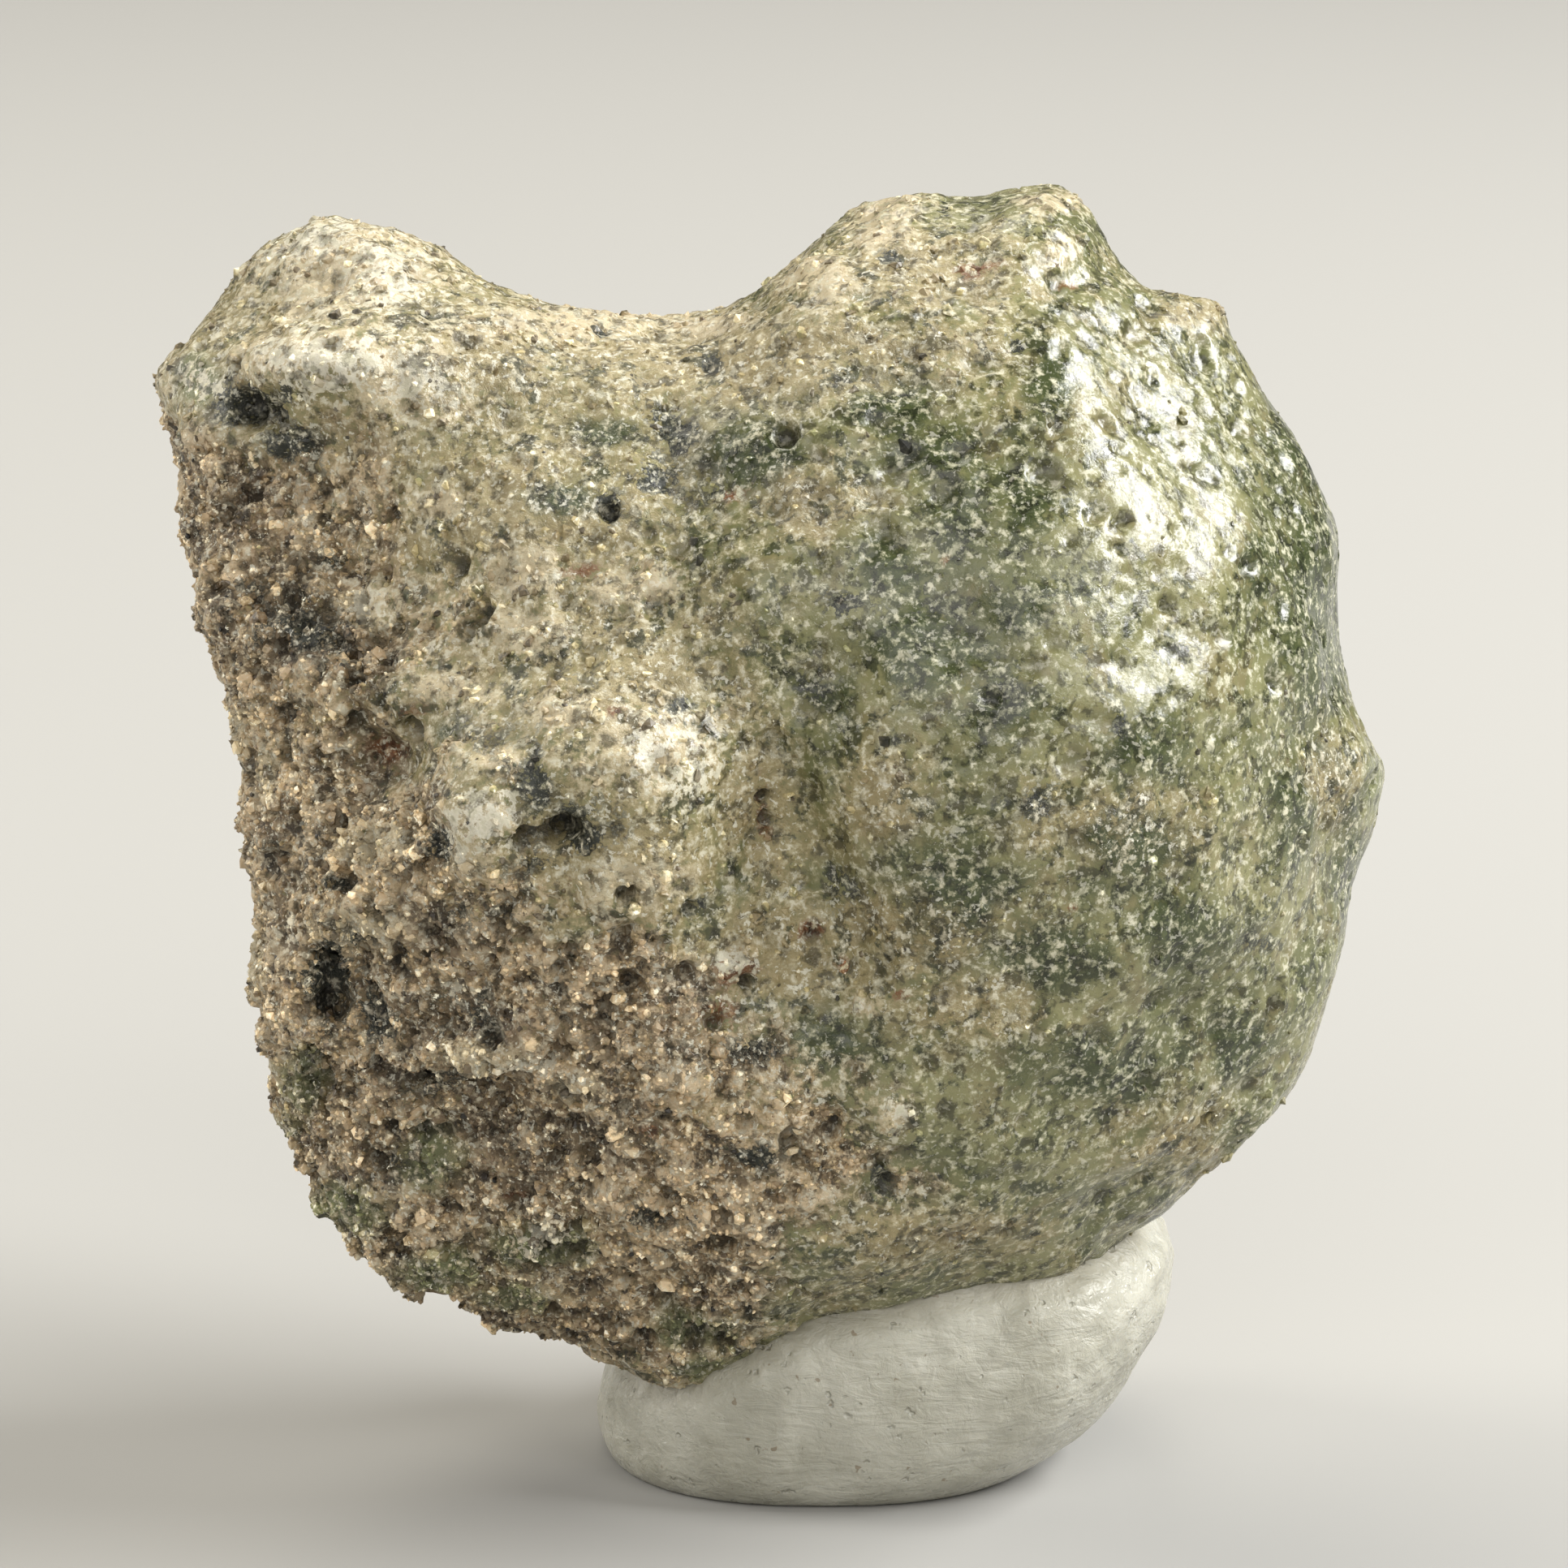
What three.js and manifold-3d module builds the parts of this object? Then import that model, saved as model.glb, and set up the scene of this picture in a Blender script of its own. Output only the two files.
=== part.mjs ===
// A thumbnail-sized lump of trinitite, the green glass of melted desert sand, held upright by the dab of
// cream mineral putty that it is pressed into. Millimetres, +Z up, +X to the right and +Y to the back.
// The origin is the middle of the putty's flat foot, on the surface that the specimen stands on.
//
// The stone is one closed body with a bulging glassy front, a sandy broken back and a chipped rim. It is
// built face on (x right, y up, z towards the viewer) from rings of points that shrink from the rim to the
// middle of each face, and is then leaned back into the putty. The putty is a squashed ball with a flat
// foot and a socket that follows the stone.
import * as THREE from "three";
import { mergeVertices } from "three/addons/utils/BufferGeometryUtils.js";
import { ImprovedNoise } from "three/addons/math/ImprovedNoise.js";
import Module from "manifold-3d";

const wasm = await Module();
wasm.setup();

// Driving dimensions of the stone
const LEAN = THREE.MathUtils.degToRad(15); // how far the stone leans back from upright
const FRONT_DEPTH = 4.1; // from the rim to the glassy front, before its lobes
const BACK_DEPTH = 3.5; // from the rim to the sandy back
const STONE_X = -0.27; // the stone's centre from the middle of the putty's foot
const STONE_Y = 0.4;
const STONE_Z = 7.9;

// Driving dimensions of the putty
const FOOT_TO_MIDDLE = 1.3; // height of the putty ball's middle above its foot
const PUTTY_HALF_WIDTH = 3.08;
const PUTTY_HALF_DEPTH = 2.75;
const PUTTY_HALF_HEIGHT = 1.9;
const PUTTY_OFFSET_X = 0.92; // the ball's middle from the middle of the foot
const PUTTY_OFFSET_Y = 0.2;
const PUTTY_SLANT = 0.58; // sideways drift to the right per mm of height
const SOCKET_GAP = 0.1; // between the stone and its socket

// Fineness of the meshes
const POINT_SPACING = 0.34;
const FRONT_RINGS = 26;
const BACK_RINGS = 21;
const FEWEST_POINTS = 6;
const PUTTY_DETAIL = 9;

// The stone's rim seen face on, clockwise from the lower end of the left horn
const RIM = [
  // the left horn, with a broken tip
  [-6.79, 3.29], [-6.79, 3.67], [-6.9, 3.92], [-7.05, 4.2], [-7.11, 4.37], [-7.07, 4.68], [-6.92, 4.83],
  [-6.69, 4.98], [-6.56, 5.32], [-6.34, 5.61], [-6.18, 5.84], [-6.06, 6.06], [-5.75, 6.19], [-5.63, 6.31],
  [-5.33, 6.44], [-5.05, 6.52], [-4.7, 6.34], [-4.43, 6.2], [-4.15, 6.16],
  // the saddle between the horns
  [-3.79, 5.9], [-3.39, 5.67], [-2.98, 5.51], [-2.68, 5.38], [-2.35, 5.32], [-1.82, 5.3], [-1.26, 5.31],
  [-0.89, 5.35], [-0.63, 5.39], [-0.43, 5.54], [-0.21, 5.65], [-0.04, 5.81],
  // the right hump
  [0.17, 6.02], [0.39, 6.26], [0.66, 6.43], [1.01, 6.58], [1.37, 6.7], [1.85, 6.62], [2.11, 6.69],
  [2.36, 6.67], [2.93, 6.8], [3.12, 6.77], [3.27, 6.58], [3.51, 6.41], [3.57, 6.2], [3.68, 5.99],
  // the ledge and the small spike
  [4, 5.6], [4.29, 5.56], [4.57, 5.54], [4.8, 5.6], [4.96, 5.59], [5.03, 5.39], [5.11, 5.12],
  // the smooth right flank
  [5.42, 4.52], [5.65, 4.23], [5.92, 3.79], [6.15, 3.39], [6.31, 3.03], [6.36, 2.71], [6.34, 2.21],
  [6.34, 1.77], [6.41, 1.23], [6.52, 0.8],
  // the chipped knob on the flank
  [6.69, 0.47], [6.86, 0.24], [6.88, 0.04], [6.8, -0.18], [6.79, -0.4], [6.64, -0.72], [6.49, -1.1],
  // the lower right rim and the underside that the putty holds
  [6.38, -1.74], [6.3, -2.1], [6.19, -2.51], [6.07, -2.88], [5.96, -3.31], [5.78, -3.59], [5.52, -3.88],
  [5.27, -4.13], [4.92, -4.38], [4.63, -4.62], [4.35, -4.93], [3.79, -5.25], [3.59, -5.46], [3.36, -5.59],
  [3.01, -5.71], [2.25, -5.78], [1.75, -5.87], [1.3, -6], [0.75, -6.1], [0.35, -6.19], [-0.44, -6.59],
  // the lowest tip
  [-0.74, -6.83], [-1.04, -6.94], [-1.39, -6.89], [-1.79, -6.77], [-2.13, -6.55],
  // the thin scalloped rim at the lower left, with its notch
  [-2.51, -6.25], [-2.89, -6.21], [-3.19, -6.22], [-3.46, -6.14], [-3.65, -6.02], [-3.79, -5.84],
  [-3.92, -5.71], [-4.07, -5.8], [-4.25, -5.89], [-4.45, -5.78], [-4.52, -5.67], [-4.69, -5.58],
  [-4.92, -5.38], [-5.05, -5.18], [-5.25, -4.95], [-5.35, -4.72], [-5.58, -4.42],
  // the broken left side
  [-5.73, -4.08], [-5.81, -3.65], [-5.88, -3.2], [-5.95, -2.59], [-6.03, -2.34], [-6.04, -2.03],
  [-5.91, -1.75], [-5.92, -1.47], [-5.99, -1.14], [-5.98, -0.5], [-6.02, -0.1], [-6.14, 0.34],
  [-6.26, 0.89], [-6.34, 1.12], [-6.49, 1.27], [-6.59, 1.55], [-6.71, 1.86], [-6.67, 2.17], [-6.71, 2.41],
  [-6.83, 2.72],
];

// How the stone turns from its face into its rim, by direction in degrees from the right, anticlockwise:
// 2 is round as on a pebble, more is a broken wall that stands square, less is a thin sharp edge
const EDGE_FORMS = [
  [-180, 3], [-160, 2.7], [-140, 1.8], [-115, 1.7], [-80, 2.1], [-45, 1.8], [0, 2], [45, 2.1], [65, 2.6],
  [85, 2.3], [100, 1.9], [115, 2.1], [140, 2.5], [160, 3], [180, 3],
];

// Lobes and hollows of the front: middle, half-widths, turn in degrees, and how far they rise or sink
const FRONT_FORMS = [
  { name: "main dome", x: 2.5, y: 0.9, along: 3.5, across: 2.9, turn: -60, rise: 0.95 },
  { name: "dome shoulder", x: 4.1, y: 2.7, along: 1.9, across: 1.1, turn: -65, rise: 0.3 },
  { name: "left lobe", x: -2.2, y: 0, along: 1.9, across: 1.4, turn: 35, rise: 0.8 },
  { name: "valley between the lobes", x: -0.1, y: -0.6, along: 2.1, across: 0.8, turn: -72, rise: -0.5 },
  { name: "slope down to the scalloped rim", x: -3.4, y: -4, along: 2, across: 1.1, turn: -35, rise: -0.35 },
  { name: "ridge of the left horn", x: -4.9, y: 4.6, along: 1.8, across: 0.65, turn: 8, rise: 0.6 },
  { name: "recess under the horn", x: -5, y: 2.7, along: 1.5, across: 0.8, turn: -60, rise: -0.6 },
  { name: "saddle trough", x: -1.3, y: 3.9, along: 1.5, across: 1.1, turn: 75, rise: -0.35 },
  { name: "broken bubble rim", x: -4.4, y: 1.05, along: 0.7, across: 0.5, turn: 25, rise: 0.3 },
  { name: "hollow under the bubble rim", x: -4.3, y: 0.1, along: 0.6, across: 0.5, turn: 20, rise: -0.3 },
  { name: "pale glass mound", x: -3.4, y: -0.2, along: 0.6, across: 0.5, turn: 80, rise: 0.3 },
  { name: "dark pit by the mound", x: -2.5, y: -0.6, along: 0.5, across: 0.4, turn: 15, rise: -0.3 },
  { name: "pale lobe", x: -3.5, y: -3.1, along: 0.7, across: 0.42, turn: 30, rise: 0.35 },
  { name: "shelf under the pale lobe", x: -3.6, y: -3.9, along: 0.8, across: 0.4, turn: 15, rise: -0.3 },
  { name: "fold on the dome", x: 2.05, y: 1.65, along: 0.9, across: 0.4, turn: -45, rise: -0.2 },
  { name: "black pit", x: -4.9, y: -2.2, along: 0.42, across: 0.36, turn: 80, rise: -0.45 },
  { name: "dimple on the dome", x: 0.5, y: 1.1, along: 0.5, across: 0.45, turn: 0, rise: -0.22 },
];

// The back is a face of burst bubbles and fused sand
const BACK_FORMS = [
  { name: "upper burst bubble", x: -2.4, y: 2.3, along: 1.9, across: 1.5, turn: 20, rise: -1.15 },
  { name: "lower burst bubble", x: 2.6, y: -1.4, along: 1.6, across: 1.4, turn: -30, rise: -1.05 },
  { name: "small burst bubble", x: 2.7, y: 3.2, along: 1, across: 0.85, turn: 0, rise: -0.8 },
  { name: "smaller burst bubble", x: -3.3, y: -2.1, along: 0.8, across: 0.65, turn: 40, rise: -0.6 },
  { name: "wall between the bubbles", x: 0.2, y: 0.5, along: 2.8, across: 0.5, turn: 50, rise: 0.35 },
  { name: "sand lump", x: -0.4, y: -3.6, along: 1.2, across: 0.9, turn: 0, rise: 0.45 },
  { name: "left sand lump", x: -4.6, y: 0.6, along: 0.9, across: 0.7, turn: 70, rise: 0.4 },
  { name: "bubble hole", x: 0.4, y: 4.3, along: 0.6, across: 0.5, turn: 0, rise: -0.45 },
  { name: "low bubble hole", x: -1.9, y: -0.7, along: 0.6, across: 0.5, turn: 0, rise: -0.45 },
];

// Flat broken faces: outward direction, and distance from the stone's centre
const BROKEN_FACES = [
  { out: [-0.78, -0.1, -0.62], distance: 5.5 },
  { out: [0.3, 0.5, -0.81], distance: 4.9 },
  { out: [0.55, -0.45, -0.7], distance: 4.9 },
  { out: [-0.35, 0.72, -0.6], distance: 6.5 },
  { out: [-0.62, 0.55, 0.56], distance: 7.45 },
];
const BREAK_SOFTNESS = 0.12;

// Lumps all over, in mm of size and height
const LUMPS = [
  { size: 2.1, height: 0.2 },
  { size: 0.95, height: 0.12 },
];
const RIM_CALM = 1.1; // within this distance of the rim the lumps fade out, so the outline stays true

const lerp = THREE.MathUtils.lerp;
const smooth = THREE.MathUtils.smoothstep;
const fullTurn = 2 * Math.PI;
const angleOf = ([x, y]) => (Math.atan2(y, x) + fullTurn) % fullTurn;

// The rim as directions and distances from the stone's centre, in order of direction
const rimByAngle = RIM.map((point) => ({ angle: angleOf(point), reach: Math.hypot(...point) }))
  .sort((a, b) => a.angle - b.angle);

// Distance from the centre to the rim in one direction
function rimReach(angle) {
  const wanted = ((angle % fullTurn) + fullTurn) % fullTurn;
  const found = rimByAngle.findIndex((point) => point.angle > wanted);
  const next = rimByAngle[Math.max(found, 0)];
  const last = rimByAngle[(Math.max(found, 0) + RIM.length - 1) % RIM.length];
  const span = (next.angle - last.angle + fullTurn) % fullTurn;
  const share = ((wanted - last.angle + fullTurn) % fullTurn) / span;
  return lerp(last.reach, next.reach, share);
}

// The rim's distance averaged over a fan of directions, which the inner rings follow
function averageReach(angle, halfFan) {
  const steps = 24;
  let sum = 0;
  for (let i = -steps; i <= steps; i++) sum += rimReach(angle + (halfFan * i) / steps);
  return sum / (2 * steps + 1);
}

function edgeForm(angle) {
  const degrees = THREE.MathUtils.euclideanModulo(THREE.MathUtils.radToDeg(angle) + 180, 360) - 180;
  const next = EDGE_FORMS.findIndex(([at]) => at > degrees);
  const [a, from] = EDGE_FORMS[next - 1];
  const [b, to] = EDGE_FORMS[next];
  return lerp(from, to, smooth(degrees, a, b));
}

// A point of the plain body: climb goes from 0 at the rim to a quarter turn in the middle of the face
function bodyPoint(angle, climb, depth) {
  const form = lerp(edgeForm(angle), 2.3, smooth(climb, 0.3, 1.2));
  const near = lerp(rimReach(angle), averageReach(angle, 0.3), smooth(climb, 0, 0.7));
  const reach = lerp(near, averageReach(angle, 1.2), smooth(climb, 0.3, 1.3));
  const outward = reach * Math.cos(climb) ** (2 / form);
  const towards = depth * Math.sin(climb) ** (2 / form);
  return new THREE.Vector3(outward * Math.cos(angle), outward * Math.sin(angle), towards);
}

// How much of a rounded form with soft edges reaches this point
function formHeight(form, point) {
  const turn = THREE.MathUtils.degToRad(form.turn);
  const dx = point.x - form.x;
  const dy = point.y - form.y;
  const along = (dx * Math.cos(turn) + dy * Math.sin(turn)) / form.along;
  const across = (dy * Math.cos(turn) - dx * Math.sin(turn)) / form.across;
  return form.rise * Math.exp(-(along ** 2 + across ** 2));
}

const sumOfForms = (forms, point) => forms.reduce((sum, form) => sum + formHeight(form, point), 0);

function flattenOnBreaks(point) {
  for (const { out, distance } of BROKEN_FACES) {
    const normal = new THREE.Vector3(...out).normalize();
    const beyond = (point.dot(normal) - distance) / BREAK_SOFTNESS;
    point.addScaledVector(normal, -BREAK_SOFTNESS * Math.log1p(Math.exp(Math.min(beyond, 30))));
  }
  return point;
}

// One ring round a face. The rim itself keeps every traced point.
function ringOfPoints(climb, depth) {
  if (climb === 0) return rimByAngle.map(({ angle }) => ({ angle, point: bodyPoint(angle, 0, depth) }));
  const around = fullTurn * averageReach(0, Math.PI) * Math.cos(climb);
  const count = Math.max(FEWEST_POINTS, Math.round(around / POINT_SPACING));
  return Array.from({ length: count }, (_, i) => {
    const angle = (fullTurn * (i + 0.5)) / count;
    return { angle, point: bodyPoint(angle, climb, depth) };
  });
}

// Triangles between two rings whose points needn't be the same in number
function stitch(outer, inner, turned, faces) {
  let i = 0;
  let j = 0;
  const angleAt = (ring, k) => ring[k % ring.length].angle + fullTurn * Math.floor(k / ring.length);
  const add = (a, b, c) => faces.push(...(turned ? [a, c, b] : [a, b, c]));
  while (i < outer.length || j < inner.length) {
    const a = outer[i % outer.length].index;
    const b = inner[j % inner.length].index;
    if (j >= inner.length || (i < outer.length && angleAt(outer, i + 1) <= angleAt(inner, j + 1))) {
      i++;
      add(a, outer[i % outer.length].index, b);
    } else {
      j++;
      add(a, inner[j % inner.length].index, b);
    }
  }
}

// The plain body with its front lobes, back bubbles and broken faces, as one closed mesh
function stoneBody() {
  const points = [];
  const faces = [];
  const keep = (ring, shape) => {
    for (const entry of ring) {
      entry.index = points.length;
      points.push(shape(entry.point));
    }
  };
  const rim = ringOfPoints(0, FRONT_DEPTH);
  keep(rim, (point) => point);
  const faceOf = (depth, rings, forms, side) => {
    const shape = (point) => {
      const away = smooth(point.z / depth, 0, 0.5);
      point.z = side * (point.z + away * sumOfForms(forms, point));
      return flattenOnBreaks(point);
    };
    let outer = rim;
    for (let k = 1; k < rings; k++) {
      const inner = ringOfPoints((Math.PI / 2) * (k / rings), depth);
      keep(inner, shape);
      stitch(outer, inner, side < 0, faces);
      outer = inner;
    }
    const middle = points.length;
    points.push(shape(new THREE.Vector3(0, 0, depth)));
    for (let i = 0; i < outer.length; i++) {
      const [a, b] = [outer[i].index, outer[(i + 1) % outer.length].index];
      faces.push(...(side > 0 ? [a, b, middle] : [b, a, middle]));
    }
  };
  faceOf(FRONT_DEPTH, FRONT_RINGS, FRONT_FORMS, 1);
  faceOf(BACK_DEPTH, BACK_RINGS, BACK_FORMS, -1);
  const geometry = new THREE.BufferGeometry().setFromPoints(points).setIndex(faces);
  geometry.computeVertexNormals();
  return geometry;
}

// Moves each point out along its normal by what height(point) gives
function pushOut(geometry, height) {
  const moved = geometry.clone();
  const position = moved.getAttribute("position");
  const normals = geometry.getAttribute("normal");
  const point = new THREE.Vector3();
  const normal = new THREE.Vector3();
  for (let i = 0; i < position.count; i++) {
    point.fromBufferAttribute(position, i);
    normal.fromBufferAttribute(normals, i);
    point.addScaledVector(normal, height(point));
    position.setXYZ(i, point.x, point.y, point.z);
  }
  moved.computeVertexNormals();
  return moved;
}

const noise = new ImprovedNoise();
function lumpHeight({ x, y, z }) {
  const inward = rimReach(Math.atan2(y, x)) - Math.hypot(x, y);
  const fade = smooth(Math.hypot(Math.max(inward, 0), z), 0, RIM_CALM);
  const lump = (sum, { size, height }) => sum + height * noise.noise(x / size, y / size, z / size + 0.5);
  return fade * LUMPS.reduce(lump, 0);
}

const rounded = pushOut(stoneBody(), lumpHeight);

function toSolid(geometry, place = new THREE.Matrix4()) {
  const bare = geometry.clone();
  bare.deleteAttribute("normal");
  bare.deleteAttribute("uv");
  const merged = mergeVertices(bare.applyMatrix4(place), 1e-4);
  return new wasm.Manifold(new wasm.Mesh({
    numProp: 3,
    vertProperties: merged.getAttribute("position").array,
    triVerts: new Uint32Array(merged.index.array),
  }));
}

function toGeometry(solid) {
  const mesh = solid.getMesh();
  const geometry = new THREE.BufferGeometry();
  geometry.setAttribute("position", new THREE.BufferAttribute(mesh.vertProperties, 3));
  geometry.setIndex(new THREE.BufferAttribute(mesh.triVerts, 1));
  geometry.computeVertexNormals();
  return geometry;
}

function makeStone() {
  const glass = new THREE.MeshStandardMaterial({ color: 0x8a8a68, roughness: 0.45, metalness: 0 });
  const stone = new THREE.Mesh(rounded, glass);
  stone.name = "trinitite";
  stone.rotation.x = Math.PI / 2 - LEAN;
  stone.position.set(STONE_X, STONE_Y, STONE_Z);
  stone.updateMatrixWorld(true);
  return stone;
}

// A squashed ball that drifts to the right as it rises, cut flat for its foot and hollowed for the stone
function makePutty(stone) {
  const ball = mergeVertices(new THREE.IcosahedronGeometry(1, PUTTY_DETAIL).deleteAttribute("normal")
    .deleteAttribute("uv"), 1e-4);
  const position = ball.getAttribute("position");
  const squareness = 2 / 2.4;
  for (let i = 0; i < position.count; i++) {
    const direction = [position.getX(i), position.getY(i), position.getZ(i)];
    const [x, y, z] = direction.map((part) => Math.sign(part) * Math.abs(part) ** squareness);
    const height = PUTTY_HALF_HEIGHT * z;
    position.setXYZ(i,
      PUTTY_OFFSET_X + PUTTY_HALF_WIDTH * x + PUTTY_SLANT * height,
      PUTTY_OFFSET_Y + PUTTY_HALF_DEPTH * y,
      FOOT_TO_MIDDLE + height);
  }
  const room = new THREE.BoxGeometry(20, 20, 10).translate(0, 0, 5);
  const socket = toSolid(pushOut(rounded, () => SOCKET_GAP), stone.matrixWorld);
  const solid = toSolid(ball).intersect(toSolid(room)).subtract(socket);
  const largest = solid.decompose().sort((a, b) => b.volume() - a.volume())[0];
  const cream = new THREE.MeshStandardMaterial({ color: 0xcfcbb8, roughness: 0.4, metalness: 0 });
  const putty = new THREE.Mesh(toGeometry(largest), cream);
  putty.name = "mounting_putty";
  return putty;
}

const specimen = new THREE.Group();
specimen.name = "trinitite_specimen";
const stone = makeStone();
specimen.add(stone, makePutty(stone));

export default specimen;
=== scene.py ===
# %% [markdown]
# # A lump of trinitite on its dab of putty
#
# Trinitite is desert sand that melted into green glass. This piece is the size of a thumbnail: a glossy,
# pocked dome in front, a crust of half-melted sand on its left side and back, and two horns with a saddle
# between them. Mineral collectors stand such a piece up by pressing it into a dab of cream putty.
#
# The measured solids come in first and fix every size and place. The looks are then built on copies of them.

# %% Load the measured solids
import math

import bpy
import numpy as np
from mathutils import Matrix, Quaternion, Vector
from mathutils.bvhtree import BVHTree
from mathutils.kdtree import KDTree


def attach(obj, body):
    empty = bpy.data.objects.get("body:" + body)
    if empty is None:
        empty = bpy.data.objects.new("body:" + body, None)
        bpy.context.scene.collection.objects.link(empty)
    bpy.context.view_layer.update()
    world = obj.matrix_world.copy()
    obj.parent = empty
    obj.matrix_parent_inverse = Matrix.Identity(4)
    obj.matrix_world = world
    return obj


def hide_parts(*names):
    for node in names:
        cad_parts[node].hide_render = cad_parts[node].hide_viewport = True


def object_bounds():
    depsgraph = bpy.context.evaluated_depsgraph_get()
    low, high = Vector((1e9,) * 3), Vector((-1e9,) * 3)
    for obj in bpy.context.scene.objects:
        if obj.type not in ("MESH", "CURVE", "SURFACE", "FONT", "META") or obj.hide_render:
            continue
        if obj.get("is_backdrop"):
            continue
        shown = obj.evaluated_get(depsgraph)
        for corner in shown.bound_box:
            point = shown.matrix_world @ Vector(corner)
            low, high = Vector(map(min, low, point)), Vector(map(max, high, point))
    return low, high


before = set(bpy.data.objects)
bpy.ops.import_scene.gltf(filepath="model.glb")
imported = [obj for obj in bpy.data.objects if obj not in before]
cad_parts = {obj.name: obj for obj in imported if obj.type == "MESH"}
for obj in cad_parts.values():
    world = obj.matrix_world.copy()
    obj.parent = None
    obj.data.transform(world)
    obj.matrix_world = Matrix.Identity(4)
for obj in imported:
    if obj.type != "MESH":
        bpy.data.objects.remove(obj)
cad_low, cad_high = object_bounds()
print("solids:", sorted(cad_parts), "box in mm:", [round(1000 * v, 2) for v in cad_high - cad_low])

# %% [markdown]
# ## The view
#
# The stone leans back 15 degrees, and it is looked at square on, from 70 mm away. A long lens keeps the
# perspective as mild as in a close-up of a small thing. A place on the stone can then be named by where it
# is seen in a picture 1932 units wide, which is how the marks on it are listed further down.

# %% Camera
MM = 0.001
PICTURE = 1932
PICTURE_MIDDLE = PICTURE / 2
UNIT_MM = 0.0093  # mm for one picture unit, at the stone's middle
VIEW_MM = 70.0
LEAN = math.radians(15)
STONE_MIDDLE = np.array([-0.27, 0.4, 7.9])
UPWARDS = np.array([0.0, math.sin(LEAN), math.cos(LEAN)])
TOWARDS = np.array([0.0, -math.cos(LEAN), math.sin(LEAN)])

eye = STONE_MIDDLE + VIEW_MM * TOWARDS
bpy.ops.object.camera_add(location=eye * MM, rotation=(math.pi / 2 - LEAN, 0, 0))
camera = bpy.context.object
camera.data.sensor_width = 36
camera.data.lens = 36 * VIEW_MM / (PICTURE * UNIT_MM)
camera.data.clip_start = 0.002
camera.data.clip_end = 5
bpy.context.scene.camera = camera
bpy.context.scene.view_settings.view_transform = "Standard"
print("lens", round(camera.data.lens, 1), "mm")

# %% [markdown]
# ## Floor
#
# A plain pale floor, wide enough to fill the picture. It is a rough sheet with no pattern, so that all the
# detail in the picture belongs to the stone.

# %% Floor
bpy.ops.object.select_all(action="DESELECT")
bpy.ops.mesh.primitive_plane_add(size=3, location=(0, 0, 0))
floor = bpy.context.object
floor.name = "floor"
floor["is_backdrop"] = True
pale = bpy.data.materials.new("pale_floor")
pale.use_nodes = True
pale.node_tree.nodes["Principled BSDF"].inputs["Base Color"].default_value = (0.36, 0.355, 0.34, 1)
pale.node_tree.nodes["Principled BSDF"].inputs["Roughness"].default_value = 0.8
floor.data.materials.append(pale)

# %% [markdown]
# ## Lights
#
# Five soft studio lamps and a faint even sky. The dome's shoulder mirrors the key lamp, a strip at the upper
# right, as one long slanted glare: the strip is leaned over so that the whole length of the shoulder sees it.
# A weak lamp in front of it adds a sheen, a wide fill keeps the left side readable, a strip above and behind
# lights the saddle and the tops of the horns, and the last one draws the left edge.

# %% Lights
def softbox(name, direction, distance, size, watts, tint, roll=0.0):
    """A rectangular lamp that looks at the stone from a direction, all in mm; roll leans it, in degrees."""
    place = Vector(STONE_MIDDLE * MM) + Vector(direction).normalized() * distance * MM
    bpy.ops.object.light_add(type="AREA", location=place)
    lamp = bpy.context.object
    lamp.name = name
    lamp.data.shape = "RECTANGLE"
    lamp.data.size, lamp.data.size_y = size[0] * MM, size[1] * MM
    lamp.data.energy = watts
    lamp.data.color = tint
    lamp.rotation_mode = "QUATERNION"
    lamp.rotation_quaternion = (Vector(STONE_MIDDLE * MM) - place).to_track_quat("-Z", "Y")
    lamp.rotation_quaternion @= Quaternion((0, 0, 1), math.radians(roll))
    return lamp


softbox("key_upper_right", (0.77, 0.04, 0.63), 230, (42, 165), 0.93, (1.0, 1.0, 0.99), roll=115)
softbox("sheen_front_right", (0.56, -0.62, 0.56), 260, (90, 110), 0.15, (1.0, 0.985, 0.95))
softbox("fill_front", (-0.2, -1.0, 0.7), 300, (280, 225), 0.42, (1.0, 0.975, 0.93))
softbox("top_behind", (-0.35, 0.5, 1.0), 220, (220, 80), 0.34, (1.0, 0.95, 0.84))
softbox("rim_left", (-1.0, 0.2, 0.4), 240, (80, 120), 0.26, (1.0, 0.97, 0.9))
world = bpy.data.worlds.new("studio")
bpy.context.scene.world = world
world.use_nodes = True
world.node_tree.nodes["Background"].inputs["Color"].default_value = (1.0, 0.985, 0.95, 1)
world.node_tree.nodes["Background"].inputs["Strength"].default_value = 0.16

# %% [markdown]
# ## The stone's skin
#
# The measured solid has facets of about a third of a millimetre. A voxel remesh gives it an even skin with
# points every 0.07 mm, close enough to shape grains and bubbles, and a little smoothing melts the facets as
# the glass itself did. The work is done at a thousand times the size, so that one unit is one millimetre,
# because the modifiers' smallest steps are too coarse for so small a thing.

# %% Copy, merge, remesh and smooth
def only(thing):
    """Makes this the one selected and active object."""
    bpy.ops.object.select_all(action="DESELECT")
    thing.select_set(True)
    bpy.context.view_layer.objects.active = thing


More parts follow.
